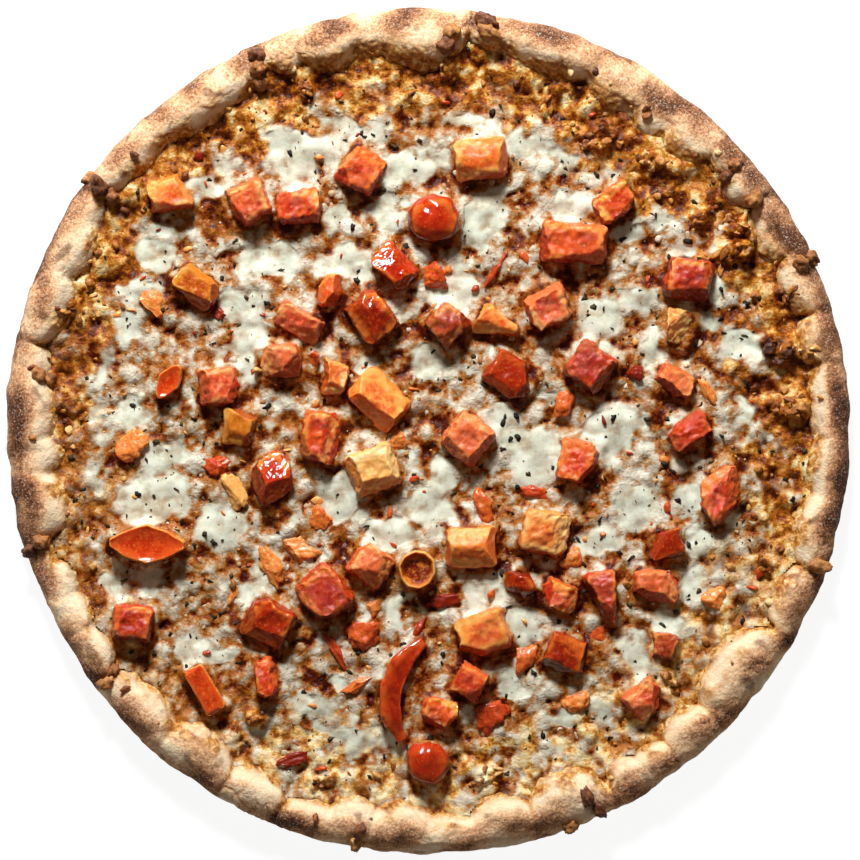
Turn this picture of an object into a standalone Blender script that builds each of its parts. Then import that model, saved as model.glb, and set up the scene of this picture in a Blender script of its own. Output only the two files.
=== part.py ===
"""A round white pizza, uncut and without a plate: a lobed crust, a sheet of melted cheese and diced tomato.

The crust is one solid with a flat underside. The cheese lies in it as one solid, with its herb flakes, curds
and small tomato bits fused on, and every larger piece of tomato is a solid of its own, seated on the cheese.
Lengths are in millimetres and angles in degrees, counted from +X towards +Y, until a mesh is made in metres.
"""

import math
import random

import bmesh
import bpy
from mathutils import Vector, noise
from mathutils.bvhtree import BVHTree
from mathutils.geometry import delaunay_2d_cdt

MM = 0.001

# Driving dimensions.
PIZZA_RADIUS = 150.0
FLOOR_TOP = 5.0
BELLY_HEIGHT = 6.0
UNDERSIDE_INSET = 6.5
CREASE_REACH = 12.0
CREASE_HEIGHT = 10.5
CREST_SHARE = 0.48
CHEESE_THICKNESS = 2.6
POOL_RISE = 1.7
CHEESE_EDGE = 0.9
COARSE_BUMPS = (15.0, 0.9)
FINE_BUMPS = (7.0, 0.5)
LEVEL_MARGIN = 3.0
LEVEL_RISE = 0.6
TOPPING_SINK = 1.4
HERB_THICKNESS = 1.1
FIT_GAP = 0.3
SEAT_MARGIN = 0.05
SLOPE_GAP = 0.5

# Fineness of the meshes.
RIM_STEPS = 150
INNER_SHARES = (0.0, 0.22, 0.5, 0.78, 1.0)
CHEESE_RINGS = 2
OUTER_TURNS = (32.0, 62.0, 90.0)
UNDER_TURNS = (50.0, 90.0)
LATTICE = 6.8
LATTICE_JITTER = 0.16
ROUND_SUBDIVISIONS = 2
SEAT_STEPS = 8

# Each puffed lobe of the rim: middle angle, half width, reach in from the outer edge, height.
LOBES = (
    (4, 5.5, 15, 14), (13, 3, 17, 14.5), (21.5, 3.5, 16, 13.5), (30, 3.8, 19, 13), (38, 2.8, 16, 15),
    (42.5, 2, 14, 13.5), (48.5, 3.5, 20, 13.5), (55, 3.5, 21, 12.5), (61.5, 4, 20, 14), (72, 6.3, 17, 16),
    (81, 2.8, 14, 13.5), (91, 5.5, 22, 16), (98, 3, 17, 13), (104.5, 3.8, 19, 15.5), (110.5, 2.2, 15, 13),
    (123.5, 7.3, 17, 15.5), (136, 6.3, 14, 15), (148, 2.5, 14, 13), (153, 4.6, 17, 15), (161.5, 4.6, 17, 15.5),
    (170.5, 2.6, 15, 12.5), (177.5, 5, 18, 16), (183.5, 2.8, 20, 14.5), (190.5, 4.6, 20, 16),
    (202, 2.4, 15, 13), (207.5, 3, 15, 14), (213, 3.2, 14, 14.5), (220.5, 2.2, 15, 13.5), (225, 4.2, 17, 15.5),
    (234.5, 4.6, 20, 15.5), (244, 3.8, 17, 15), (253, 3.2, 14, 14.5), (259, 3.2, 19, 15), (266, 4.3, 19, 15.5),
    (273, 3.5, 15, 15), (280.5, 4, 20, 15.5), (290.5, 5, 22, 16), (300, 2.4, 17, 14), (304, 2.6, 15, 14.5),
    (311, 3.5, 18, 15), (322, 6.6, 22, 16), (335.5, 4, 16, 14.5), (346, 4.6, 16, 15), (355, 4.4, 15, 14.5),
)

# Where the outline swells or draws in: middle angle, half width, amount.
OUTLINE_SWELLS = (
    (100, 22, 0.5), (268, 26, 0.3), (207, 18, -1.2), (45, 10, -0.5), (145, 12, 0.4), (325, 14, -0.4),
)

# Burnt ridges and crumbs baked onto the rim: angle, distance from the middle, length outwards, width, height.
RIM_CRUMBS = (
    (24.6, 147, 11, 6, 7), (35, 134, 22, 5.5, 7), (41, 139, 14, 4, 5), (81.7, 145, 8, 8, 7), (87, 139, 9, 6, 6),
    (115.2, 142, 13, 6, 7), (143.6, 143, 24, 5.5, 8), (196.5, 145, 12, 5, 5), (217.5, 143, 9, 4, 5),
    (259.8, 146, 10, 4, 5), (290, 151, 5, 7, 4), (294, 144, 12, 4, 4), (341, 148, 7, 5, 5), (172, 138, 8, 6, 5),
)

# Pools of melted cheese that stand proud: middle x and y, half length, half width, turn.
CHEESE_POOLS = (
    (-45, 99, 17, 9, 5), (-8, 94, 20, 7, 10), (32, 102, 10, 7, 0), (20, 76, 9, 13, -20), (8, 50, 11, 10, 0),
    (-27, 61, 12, 7, 0), (-56, 61, 14, 7, 0), (-97, 64, 7, 9, 0), (-99, 50, 9, 5, 0), (-107, 36, 7, 8, 0),
    (-68, 46, 9, 7, 0), (-64, 29, 6, 16, 0), (52, 79, 8, 7, 0), (93, 64, 9, 6, 0), (61, 41, 9, 9, 0),
    (75, 46, 7, 6, 0), (80, 30, 5, 8, 0), (112, 30, 9, 7, 0), (100, 39, 5, 7, 0), (64, -1, 9, 16, -35),
    (38, -10, 13, 12, 0), (27, 4, 8, 8, 0), (-1, 25, 10, 8, 0), (1, -28, 12, 10, 0), (-15, -37, 10, 8, 0),
    (-31, -24, 11, 10, 0), (-98, -24, 15, 11, 0), (-75, -33, 10, 11, 0), (-61, -56, 7, 5, 0), (-73, -79, 8, 5, 0),
    (-42, -98, 10, 6, 0), (-28, -108, 11, 6, 0), (-11, -64, 4, 12, -15), (17, -61, 6, 7, 0), (61, -39, 12, 8, 0),
    (75, -26, 12, 8, 0), (93, -25, 7, 7, 0), (75, -82, 8, 12, 35), (47, -101, 8, 4, 0), (33, -69, 9, 7, 0),
    (29, -90, 8, 5, 0), (96, -40, 6, 6, 0), (-111, -54, 8, 7, 0), (47, -115, 8, 4, 0), (88, -11, 4, 4, 0),
)

# Tomato on its own: form, x, y, length, width, height, turn, tone.
TOMATOES = (
    ("dice", -92, 83.5, 15, 13, 8, 20, "orange"), ("dice", -65, 81, 16, 15, 8, 25, "red"),
    ("dice", -45.5, 78.5, 16, 14, 8, 10, "red"), ("wedge", -82, 51.5, 17, 12, 8, -40, "amber"),
    ("dice", -23.5, 92.5, 15, 15, 7, -30, "orange"), ("dice", 19, 96.5, 19, 15, 8, 8, "orange"),
    ("round", 2, 75, 20, 18.5, 9, 0, "dark"), ("wedge", -11.5, 59, 17, 11.5, 8, -45, "red"),
    ("dice", -34.5, 50, 12, 9, 7, 90, "orange"), ("dice", -20.5, 40, 18, 15.5, 9, -50, "dark"),
    ("dice", -46, 38.5, 17, 11.5, 7, -25, "salmon"), ("dice", -52.5, 24, 15, 13.5, 8, 5, "red"),
    ("wedge", -41.5, 23.5, 10, 4.2, 6, 70, "dark"), ("dice", -33, 19.8, 14, 8.5, 8, 80, "salmon"),
    ("dice", 6.5, 37, 14.5, 13.5, 8, 50, "dark"), ("point", 25, 37.5, 16, 12.5, 7, -20, "orange"),
    ("dice", 42, 44.5, 15.5, 15, 8, 20, "salmon"), ("dice", 29.5, 19.5, 18, 14, 6, -35, "dark"),
    ("dice", 51.5, 66.5, 24, 14, 8, -5, "orange"), ("dice", 66, 80.5, 15, 11, 7, 35, "orange"),
    ("dice", 92, 53.5, 17, 15, 9, -10, "red"), ("dice", 89, 36, 14, 12, 7, 75, "orange"),
    ("dice", 58.5, 22, 16.5, 15.5, 8, -35, "red"), ("dice", 87, 17.5, 14, 10.5, 7, -15, "salmon"),
    ("wedge", 92.5, 0.5, 15.5, 11, 7, 25, "red"), ("boat", -92, 17.5, 15, 9, 7, 55, "orange"),
    ("dice", -74, 16, 16, 13, 7, 5, "salmon"), ("dice", -66.8, 1, 14, 12.5, 6, 85, "dark"),
    ("dice", -38, -2.5, 18.5, 15, 8, 80, "red"), ("wedge", -17, 11.5, 21, 16.5, 9, -45, "orange"),
    ("dice", -19.5, -14, 18, 16, 8, 20, "amber"), ("boat", -55.5, -17, 22, 16.5, 9, 75, "dark"),
    ("boat", -99.5, -40, 29, 15, 9, -2, "red"), ("dice", 14, -3, 16, 16, 8, -35, "red"),
    ("dice", 15.5, -41, 18, 15, 8, 0, "orange"), ("dice", 41.5, -36, 18, 15.5, 8, -12, "orange"),
    ("dice", 53.5, -10.5, 15.5, 14.5, 7, 80, "amber"), ("boat", 104, -22.5, 24, 16, 8, 70, "orange"),
    ("dice", 32.5, -54, 11, 9.5, 6, -60, "dark"), ("dice", 46, -58, 13.5, 10.5, 7, -20, "orange"),
    ("point", 62.5, -59, 20, 13, 8, -75, "red"), ("dice", 80.5, -54.8, 16.5, 12, 7, 0, "red"),
    ("dice", 84, -40, 13, 11.5, 6, 10, "dark"), ("dice", -37, -57.5, 18, 16, 9, -50, "dark"),
    ("dice", -20.5, -47.5, 14.5, 13.5, 8, -35, "red"), ("cup", -4, -49, 15, 14.5, 8, 80, "amber"),
    ("dice", -57, -68, 17, 16, 8, -30, "dark"), ("wedge", -57.5, -87, 15, 8.5, 7, -80, "orange"),
    ("wedge", -79, -91.5, 19, 9, 6, -60, "orange"), ("dice", -104.5, -68.5, 15, 14.5, 8, -10, "red"),
    ("dice", 20, -72, 19.5, 14.5, 8, 20, "salmon"), ("crescent", -11, -91, 36, 8, 6, 78, "red"),
    ("dice", 4, -100.3, 13, 11, 7, -10, "orange"), ("round", -0.3, -117.3, 16.5, 16.5, 9, 0, "dark"),
    ("dice", 14.5, -88.5, 14.5, 11.5, 8, -30, "red"), ("dice", 49, -79.5, 15.5, 14.5, 6, -20, "dark"),
    ("dice", 83.5, -78.5, 14, 8.5, 6, 80, "dark"), ("dice", 76.8, -95, 14, 11.5, 7, 40, "salmon"),
)

# Small tomato bits that are fused to the cheese, in the same form.
TOMATO_BITS = (
    ("dice", -98.5, 45.5, 12, 8, 5, -40, "orange"), ("round", 3.2, 54.3, 9, 8.5, 6, 0, "amber"),
    ("shred", 99.5, 13, 11, 4, 3, -65, "orange"), ("dice", -68.6, -22, 12, 6.5, 4, -60, "orange"),
    ("dice", -105.5, -4.5, 10, 9, 5, 30, "salmon"), ("dice", -75.5, -12.5, 8, 8, 4, 20, "amber"),
    ("dice", 19.3, -26.3, 10, 7.5, 5, -70, "red"), ("dice", 38, -21.8, 14, 5.5, 3, -5, "amber"),
    ("shred", -55.5, -48.5, 14, 6, 4, -60, "orange"), ("dice", -45, -42, 14, 7.5, 3, 0, "orange"),
    ("dice", 21.5, -101, 11, 11, 4, 15, "amber"), ("dice", 101.5, -60, 9, 8, 5, 30, "salmon"),
    ("dice", -22.5, -71.5, 10, 9.5, 5, 15, "amber"), ("shred", -49.5, -117, 13, 4.5, 4, 20, "dark"),
    ("shred", -25.5, -90, 15, 4, 3, 30, "orange"), ("shred", -32.5, -79, 14, 3.5, 3, -60, "red"),
    ("shred", 6, -60.5, 12, 4.5, 3, 15, "dark"), ("dice", 53, -96, 9, 6.5, 4, 10, "orange"),
    ("dice", 34, -81.5, 11, 8, 4, 85, "amber"), ("dice", 74, 20, 6, 5.5, 4, 0, "dark"),
    ("dice", 48.5, 9, 9, 7, 3, 80, "amber"), ("dice", -38, -31, 8, 6.5, 3, 70, "amber"),
)

HERB_FLAKES = 36
HERB_SEED = 11
HERB_LENGTH = (2.6, 4.0)
CURDS = 24
CURD_SEED = 5
CURD_LENGTH = (3.5, 6.0)
CRUMBS = 14
CRUMB_SEED = 21
CRUMB_LENGTH = (4.0, 7.5)
CRUMB_START = 0.62
TOMATO_SEED = 100
BIT_SEED = 400
CLEAR_OF_TOMATO = 1.2

CRUST_COLOUR = (0.52, 0.30, 0.14)
CHEESE_COLOUR = (0.78, 0.72, 0.52)
HERB_COLOUR = (0.03, 0.03, 0.012)
TONES = {
    "red": (0.50, 0.07, 0.02),
    "orange": (0.80, 0.26, 0.06),
    "salmon": (0.70, 0.20, 0.09),
    "amber": (0.55, 0.22, 0.03),
    "dark": (0.26, 0.02, 0.01),
}


# --- scene helpers -------------------------------------------------------------------------------------------


def clear_scene():
    """Removes what the startup scene holds."""
    for obj in list(bpy.data.objects):
        bpy.data.objects.remove(obj, do_unlink=True)


def new_collection(name):
    """A collection linked to the scene."""
    made = bpy.data.collections.new(name)
    bpy.context.scene.collection.children.link(made)
    return made


def new_material(name, colour, roughness):
    """A Principled material of one colour."""
    made = bpy.data.materials.new(name)
    made.use_nodes = True
    shader = made.node_tree.nodes["Principled BSDF"]
    shader.inputs["Base Color"].default_value = (*colour, 1.0)
    shader.inputs["Roughness"].default_value = roughness
    shader.inputs["Metallic"].default_value = 0.0
    return made


def new_object(name, mesh_builder, collection, material):
    """An object from a bmesh in millimetres, made into metres and shaded smooth."""
    bmesh.ops.recalc_face_normals(mesh_builder, faces=mesh_builder.faces)
    bmesh.ops.scale(mesh_builder, vec=(MM, MM, MM), verts=mesh_builder.verts)
    mesh = bpy.data.meshes.new(name)
    mesh_builder.to_mesh(mesh)
    mesh_builder.free()
    mesh.materials.append(material)
    mesh.shade_smooth()
    obj = bpy.data.objects.new(name, mesh)
    collection.objects.link(obj)
    return obj


def ripple(x, y, size, layer=0.0):
    """Smooth unevenness between -1 and 1, with bumps of about that size."""
    return noise.noise(Vector((x / size, y / size, layer)))


# --- the rim's law -------------------------------------------------------------------------------------------


def turn_between(first, second):
    """The smallest angle from one direction to another."""
    return (first - second + 180.0) % 360.0 - 180.0


def lobe_at(angle):
    """How far the rim reaches in at this angle, and how high it stands."""
    reach, height = CREASE_REACH, CREASE_HEIGHT
    for middle, half_width, lobe_reach, lobe_height in LOBES:
        offset = turn_between(angle, middle) / (half_width * 1.08)
        if abs(offset) < 1.0:
            dome = math.sqrt(1.0 - offset * offset)
            reach = max(reach, CREASE_REACH + (lobe_reach - CREASE_REACH) * dome)
            height = max(height, CREASE_HEIGHT + (lobe_height - CREASE_HEIGHT) * dome)
    return reach, height


def outline_radius(angle):
    """The outer edge's distance from the middle."""
    radius = PIZZA_RADIUS
    for middle, half_width, amount in OUTLINE_SWELLS:
        offset = turn_between(angle, middle) / half_width
        radius += amount * math.exp(-offset * offset)
    way = math.radians(angle)
    return radius + 0.5 * ripple(math.cos(way) * 60.0, math.sin(way) * 60.0, 9.0)


def inner_point(angle, share):
    """Radius and height on the rim's inner slope: share 0 is its foot and share 1 its crest."""
    reach, height = lobe_at(angle)
    outer = outline_radius(angle)
    foot = outer - reach
    crest = outer - reach * CREST_SHARE
    radius = foot + (crest - foot) * share
    rise = math.sin(0.5 * math.pi * share)
    return radius, FLOOR_TOP + (height - FLOOR_TOP) * rise


def outer_point(angle, turn):
    """Radius and height from the crest, turn 0, out and down to the widest line, turn 90."""
    reach, height = lobe_at(angle)
    outer = outline_radius(angle)
    crest = outer - reach * CREST_SHARE
    way = math.radians(turn)
    radius = crest + (outer - crest) * math.sin(way)
    return radius, BELLY_HEIGHT + (height - BELLY_HEIGHT) * math.cos(way)


def under_point(angle, turn):
    """Radius and height from the widest line, turn 0, in to the edge of the flat underside, turn 90."""
    way = math.radians(turn)
    radius = outline_radius(angle) - UNDERSIDE_INSET * (1.0 - math.cos(way))
    return radius, BELLY_HEIGHT * (1.0 - math.sin(way))


def ring_angles():
    return [360.0 * step / RIM_STEPS for step in range(RIM_STEPS)]


def ring_of(builder, point_at, lift=0.0):
    """A closed ring of vertices, one for each angle."""
    made = []
    for angle in ring_angles():
        radius, height = point_at(angle)
        way = math.radians(angle)
        made.append(builder.verts.new((radius * math.cos(way), radius * math.sin(way), height + lift)))
    return made


def band_between(builder, first, second):
    """Triangles between two rings, split alike all the way round."""
    count = len(first)
    for i in range(count):
        j = (i + 1) % count
        builder.faces.new((first[i], first[j], second[j]))
        builder.faces.new((first[i], second[j], second[i]))


def fan_inside(builder, ring, height):
    """A flat disc that closes a ring."""
    middle = builder.verts.new((0.0, 0.0, height))
    count = len(ring)
    for i in range(count):
        builder.faces.new((middle, ring[i], ring[(i + 1) % count]))


# --- crust ---------------------------------------------------------------------------------------------------


def blob(length, width, height, draw):
    """A small uneven lump round the origin."""
    builder = bmesh.new()
    bmesh.ops.create_icosphere(builder, subdivisions=1, radius=0.5)
    for vert in builder.verts:
        swell = draw.uniform(0.8, 1.15)
        vert.co = Vector((vert.co.x * length, vert.co.y * width, vert.co.z * height)) * swell
    return builder


def add_rim_crumbs(collection, material):
    """The burnt ridges and crumbs on the rim, and smaller browned crumbs on its inner slope."""
    draw = random.Random(CRUMB_SEED)
    rows = list(RIM_CRUMBS)
    for _ in range(CRUMBS):
        angle = draw.uniform(0.0, 360.0)
        size = draw.uniform(*CRUMB_LENGTH)
        radius = inner_point(angle, 0.9)[0]
        rows.append((angle, radius, size, size * 0.7, size * 0.55))
    for i, (angle, radius, length, width, height) in enumerate(rows):
        inner_end = max(radius - 0.5 * length, inner_point(angle, CRUMB_START)[0])
        outer_end = radius + 0.5 * length
        radius, length = 0.5 * (inner_end + outer_end), outer_end - inner_end
        crest = outline_radius(angle) - lobe_at(angle)[0] * CREST_SHARE
        beyond = max(0.0, min(1.0, (radius - crest) / (outline_radius(angle) - crest)))
        level = outer_point(angle, math.degrees(math.asin(beyond)))[1]
        lump = new_object(f"rim_crumb_{i}", blob(length, width, height, draw), collection, material)
        way = math.radians(angle)
        lump.location = Vector((radius * math.cos(way), radius * math.sin(way), level)) * MM
        lump.rotation_euler = (0.0, 0.0, way)


def make_crust(parts, helpers, material):
    """The dough: a disc with a flat underside, and a puffed rim that is creased between its lobes."""
    builder = bmesh.new()
    rings = [ring_of(builder, lambda a, s=share: inner_point(a, s)) for share in INNER_SHARES]
    rings += [ring_of(builder, lambda a, t=turn: outer_point(a, t)) for turn in OUTER_TURNS]
    rings += [ring_of(builder, lambda a, t=turn: under_point(a, t)) for turn in UNDER_TURNS]
    for first, second in zip(rings, rings[1:]):
        band_between(builder, first, second)
    fan_inside(builder, rings[0], FLOOR_TOP)
    fan_inside(builder, rings[-1], 0.0)
    crust = new_object("crust", builder, parts, material)
    add_rim_crumbs(helpers, material)
    fuse(crust, helpers)
    return crust


# --- cheese --------------------------------------------------------------------------------------------------


def pool_at(x, y):
    """How deep this point lies in a pool of melted cheese, from 0 to 1."""
    deepest = 0.0
    for mid_x, mid_y, half_length, half_width, turn in CHEESE_POOLS:
        way = math.radians(turn)
        dx, dy = x - mid_x, y - mid_y
        along = (dx * math.cos(way) + dy * math.sin(way)) / half_length
        across = (dy * math.cos(way) - dx * math.sin(way)) / half_width
        inside = 1.25 - math.hypot(along, across)
        deepest = max(deepest, min(1.0, inside * 2.0))
    return deepest


def cheese_height(x, y):
    """The height of the cheese's upper face over the floor of the dish."""
    level = FLOOR_TOP + CHEESE_THICKNESS + POOL_RISE * pool_at(x, y)
    level += COARSE_BUMPS[1] * ripple(x, y, COARSE_BUMPS[0], 3.0)
    return level + FINE_BUMPS[1] * ripple(x, y, FINE_BUMPS[0], 8.0)


def outline_distance(x, y, row):
    """How far a point lies outside the rectangle that a piece of tomato covers."""
    _, mid_x, mid_y, length, width, _, turn, _ = row
    way = math.radians(turn)
    dx, dy = x - mid_x, y - mid_y
    along = abs(dx * math.cos(way) + dy * math.sin(way)) - 0.5 * length
    across = abs(dy * math.cos(way) - dx * math.sin(way)) - 0.5 * width
    return math.hypot(max(along, 0.0), max(across, 0.0)) + min(max(along, across), 0.0)


def settled_height(x, y):
    """The cheese's height, which is level where a piece of tomato lies on it."""
    level = cheese_height(x, y)
    for row in TOMATOES:
        away = outline_distance(x, y, row)
        if away < LEVEL_MARGIN:
            share = min(1.0, (LEVEL_MARGIN - away) / LEVEL_MARGIN)
            level += (FLOOR_TOP + CHEESE_THICKNESS + LEVEL_RISE - level) * share
    return level


def lattice_points():
    """Places for the upper face's inner vertices: rows of a triangular lattice, each a little out of line."""
    made = []
    row_step = LATTICE * math.sqrt(0.75)
    rows = int(PIZZA_RADIUS / row_step) + 1
    for row in range(-rows, rows + 1):
        shift = 0.5 * LATTICE if row % 2 else 0.0
        for column in range(-rows, rows + 1):
            x = column * LATTICE + shift
            y = row * row_step
            x += LATTICE_JITTER * LATTICE * ripple(x, y, 4.0, 20.0)
            y += LATTICE_JITTER * LATTICE * ripple(x, y, 4.0, 30.0)
            angle = math.degrees(math.atan2(y, x))
            if math.hypot(x, y) < inner_point(angle, 0.0)[0] - 0.6 * LATTICE:
                made.append(Vector((x, y)))
    return made


def make_cheese(parts, material):
    """The sheet of cheese: flat below on the dough, bumpy above, with an edge that climbs the rim's slope."""
    builder = bmesh.new()
    below = []
    above = []
    for i in range(CHEESE_RINGS):
        share = INNER_SHARES[i]
        gap = FIT_GAP if i == 0 else SLOPE_GAP
        below.append(ring_of(builder, lambda a, s=share: inner_point(a, s), gap))
        above.append(ring_of(builder, lambda a, s=share: inner_point(a, s), gap + CHEESE_EDGE))
    for vert in above[0]:
        vert.co.z = FLOOR_TOP + CHEESE_THICKNESS - 0.2 + 0.4 * ripple(vert.co.x, vert.co.y, 9.0, 3.0)
    fan_inside(builder, below[0], FLOOR_TOP + FIT_GAP)
    band_between(builder, below[0], below[1])
    band_between(builder, below[1], above[1])
    band_between(builder, above[1], above[0])
    boundary = [vert.co.to_2d() for vert in above[0]]
    inner = lattice_points()
    flat = delaunay_2d_cdt(boundary + inner, [], [list(range(len(boundary)))], 1, 1e-4)
    verts = list(above[0])
    for point in inner:
        verts.append(builder.verts.new((point.x, point.y, settled_height(point.x, point.y))))
    origin = [sources[0] for sources in flat[3]]
    for face in flat[2]:
        builder.faces.new([verts[origin[corner]] for corner in face])
    return new_object("cheese", builder, parts, material)


def surface_of(obj):
    """The object's surface, in metres, for finding heights on it."""
    mesh = obj.data
    mesh.calc_loop_triangles()
    points = [vert.co.copy() for vert in mesh.vertices]
    return BVHTree.FromPolygons(points, [tuple(tri.vertices) for tri in mesh.loop_triangles])


def height_on(surface, x, y):
    """The height of the upper face at a point, in millimetres."""
    hit = surface.ray_cast(Vector((x * MM, y * MM, 1.0)), Vector((0.0, 0.0, -1.0)))[0]
    return hit.z / MM


# --- tomato --------------------------------------------------------------------------------------------------


def block(length, width, height, draw, form):
    """A knife-cut block with its base at height 0. A wedge has a ridge, and a point has one narrow end."""
    builder = bmesh.new()
    bmesh.ops.create_cube(builder, size=1.0)
    for vert in builder.verts:
        x, y, z = vert.co.x * length, vert.co.y * width, (vert.co.z + 0.5) * height
        if z > 0.0:
            x *= draw.uniform(0.74, 0.92)
            y *= draw.uniform(0.74, 0.92)
            z *= draw.uniform(0.82, 1.0)
            if form == "wedge" and y > 0.0:
                y *= 0.2
        if form == "point" and x > 0.0:
            y *= 0.25
        vert.co = Vector((x, y, z))
    return builder


def rounded(length, width, height, draw, form):
    """A domed piece with its base at height 0. A boat has pointed ends, and a cup is hollow on top."""
    builder = bmesh.new()
    bmesh.ops.create_icosphere(builder, subdivisions=ROUND_SUBDIVISIONS, radius=1.0)
    for vert in builder.verts:
        x, y, z = vert.co
        if form == "boat":
            y *= 1.0 - 0.35 * abs(x)
        middle = math.hypot(x, y)
        if form == "cup" and z > 0.0 and middle < 0.6:
            z -= 0.75 * (0.6 - middle) / 0.6
        z = max(z, -0.55)
        swell = draw.uniform(0.96, 1.0)
        vert.co = Vector((0.5 * length * x * swell, 0.5 * width * y * swell, height * (z + 0.55) / 1.55))
    return builder


def strip(length, width, height, draw, form):
    """A curved strip of skin with its base at height 0, tapered to both ends."""
    bend = math.radians(95.0 if form == "crescent" else 60.0)
    builder = bmesh.new()
    bmesh.ops.create_cube(builder, size=1.0)
    long_edges = [e for e in builder.edges if abs(e.verts[0].co.x - e.verts[1].co.x) > 0.5]
    bmesh.ops.subdivide_edges(builder, edges=long_edges, cuts=5 if form == "crescent" else 3, use_grid_fill=True)
    curve_radius = 0.5 * length / math.sin(0.5 * bend)
    for vert in builder.verts:
        share = vert.co.x
        taper = 1.0 - 0.55 * (2.0 * abs(share)) ** 2
        across = vert.co.y * width * taper
        swing = share * bend
        x = (curve_radius + across) * math.sin(swing)
        y = (curve_radius + across) * math.cos(swing) - curve_radius * math.cos(0.25 * bend)
        z = (vert.co.z + 0.5) * height * (taper if vert.co.z > 0.0 else 1.0) * draw.uniform(0.92, 1.0)
        vert.co = Vector((x, y, z))
    return builder


FORMS = {
    "dice": block,
    "wedge": block,
    "point": block,
    "round": rounded,
    "boat": rounded,
    "cup": rounded,
    "crescent": strip,
    "shred": strip,
}


def make_tomato(name, row, level, draw, collection, material):
    """One piece of tomato, turned and set down at this level."""
    form, x, y, length, width, height, turn, _ = row
    piece = new_object(name, FORMS[form](length, width, height, draw, form), collection, material)
    piece.location = Vector((x, y, level)) * MM
    piece.rotation_euler = (0.0, 0.0, math.radians(turn))
    return piece


def round_edges(piece, width):
    """Softens the knife-cut edges of a piece."""
    bevel = piece.modifiers.new("rounded_edges", "BEVEL")
    bevel.width = width * MM
    bevel.segments = 1
    bevel.limit_method = "NONE"


def seat_height(surface, row):
    """The highest point of the cheese under a piece of tomato."""
    _, x, y, length, width, _, turn, _ = row
    way = math.radians(turn)
    highest = 0.0
    for i in range(-SEAT_STEPS, SEAT_STEPS + 1):
        for j in range(-SEAT_STEPS, SEAT_STEPS + 1):
            along = 0.5 * length * i / SEAT_STEPS
            across = 0.5 * width * j / SEAT_STEPS
            place_x = x + along * math.cos(way) - across * math.sin(way)
            place_y = y + along * math.sin(way) + across * math.cos(way)
            highest = max(highest, height_on(surface, place_x, place_y))
    return highest


def make_tomatoes(parts, surface, materials):
    for i, row in enumerate(TOMATOES):
        draw = random.Random(TOMATO_SEED + i)
        level = seat_height(surface, row) + FIT_GAP + SEAT_MARGIN
        piece = make_tomato(f"tomato_{i + 1:02d}", row, level, draw, parts, materials[row[-1]])
        if FORMS[row[0]] is block:
            round_edges(piece, 0.11 * min(row[3], row[4], row[5] * 1.4))


# --- small toppings that are fused to the cheese -----------------------------------------------------------


def is_clear(x, y, size, taken):
    """Whether a small topping of this size fits here, clear of the tomato, the rim and its own kind."""
    angle = math.degrees(math.atan2(y, x))
    if math.hypot(x, y) + 0.5 * size > inner_point(angle, 0.0)[0] - 1.5:
        return False
    if any(outline_distance(x, y, row) < 0.5 * size + CLEAR_OF_TOMATO for row in TOMATOES):
        return False
    return all(math.hypot(x - other[0], y - other[1]) > 0.6 * (size + other[2]) for other in taken)


def scatter(draw, count, lengths, taken):
    """That many clear places, spread evenly over the disc."""
    made = []
    while len(made) < count:
        radius = PIZZA_RADIUS * math.sqrt(draw.random())
        way = draw.uniform(0.0, 2.0 * math.pi)
        size = draw.uniform(*lengths)
        x, y = radius * math.cos(way), radius * math.sin(way)
        if is_clear(x, y, size, taken):
            made.append((x, y, size))
            taken.append((x, y, size))
    return made


def add_toppings(helpers, surface, cheese_material, herb_material, tomato_materials):
    """Tomato bits, curds and herb flakes, each sunk a little into the cheese."""
    taken = []
    for i, row in enumerate(TOMATO_BITS):
        draw = random.Random(BIT_SEED + i)
        level = height_on(surface, row[1], row[2]) - TOPPING_SINK
        make_tomato(f"tomato_bit_{i}", row, level, draw, helpers, tomato_materials[row[-1]])
        taken.append((row[1], row[2], row[3]))
    draw = random.Random(CURD_SEED)
    for i, (x, y, size) in enumerate(scatter(draw, CURDS, CURD_LENGTH, taken)):
        curd = new_object(f"curd_{i}", blob(size, size * 0.8, size * 0.7, draw), helpers, cheese_material)
        curd.location = Vector((x, y, height_on(surface, x, y) + 0.1 * size)) * MM
    draw = random.Random(HERB_SEED)
    for i, (x, y, size) in enumerate(scatter(draw, HERB_FLAKES, HERB_LENGTH, taken)):
        builder = bmesh.new()
        bmesh.ops.create_cube(builder, size=1.0)
        bmesh.ops.scale(builder, vec=(size, size * 0.55, HERB_THICKNESS), verts=builder.verts)
        flake = new_object(f"herb_{i}", builder, helpers, herb_material)
        flake.location = Vector((x, y, height_on(surface, x, y) + 0.3)) * MM
        flake.rotation_euler = (draw.uniform(-0.3, 0.3), draw.uniform(-0.3, 0.3), draw.uniform(0.0, 3.1))


def fuse(body, helpers):
    """Joins a collection's objects to the body with one Boolean union, and removes them."""
    union = body.modifiers.new("fuse", "BOOLEAN")
    union.operation = "UNION"
    union.operand_type = "COLLECTION"
    union.collection = helpers
    union.solver = "EXACT"
    union.material_mode = "TRANSFER"
    bpy.context.view_layer.update()
    graph = bpy.context.evaluated_depsgraph_get()
    joined = bpy.data.meshes.new_from_object(body.evaluated_get(graph))
    body.modifiers.clear()
    body.data = joined
    for helper in list(helpers.objects):
        bpy.data.objects.remove(helper, do_unlink=True)
    keep_largest_body(body)


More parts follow.
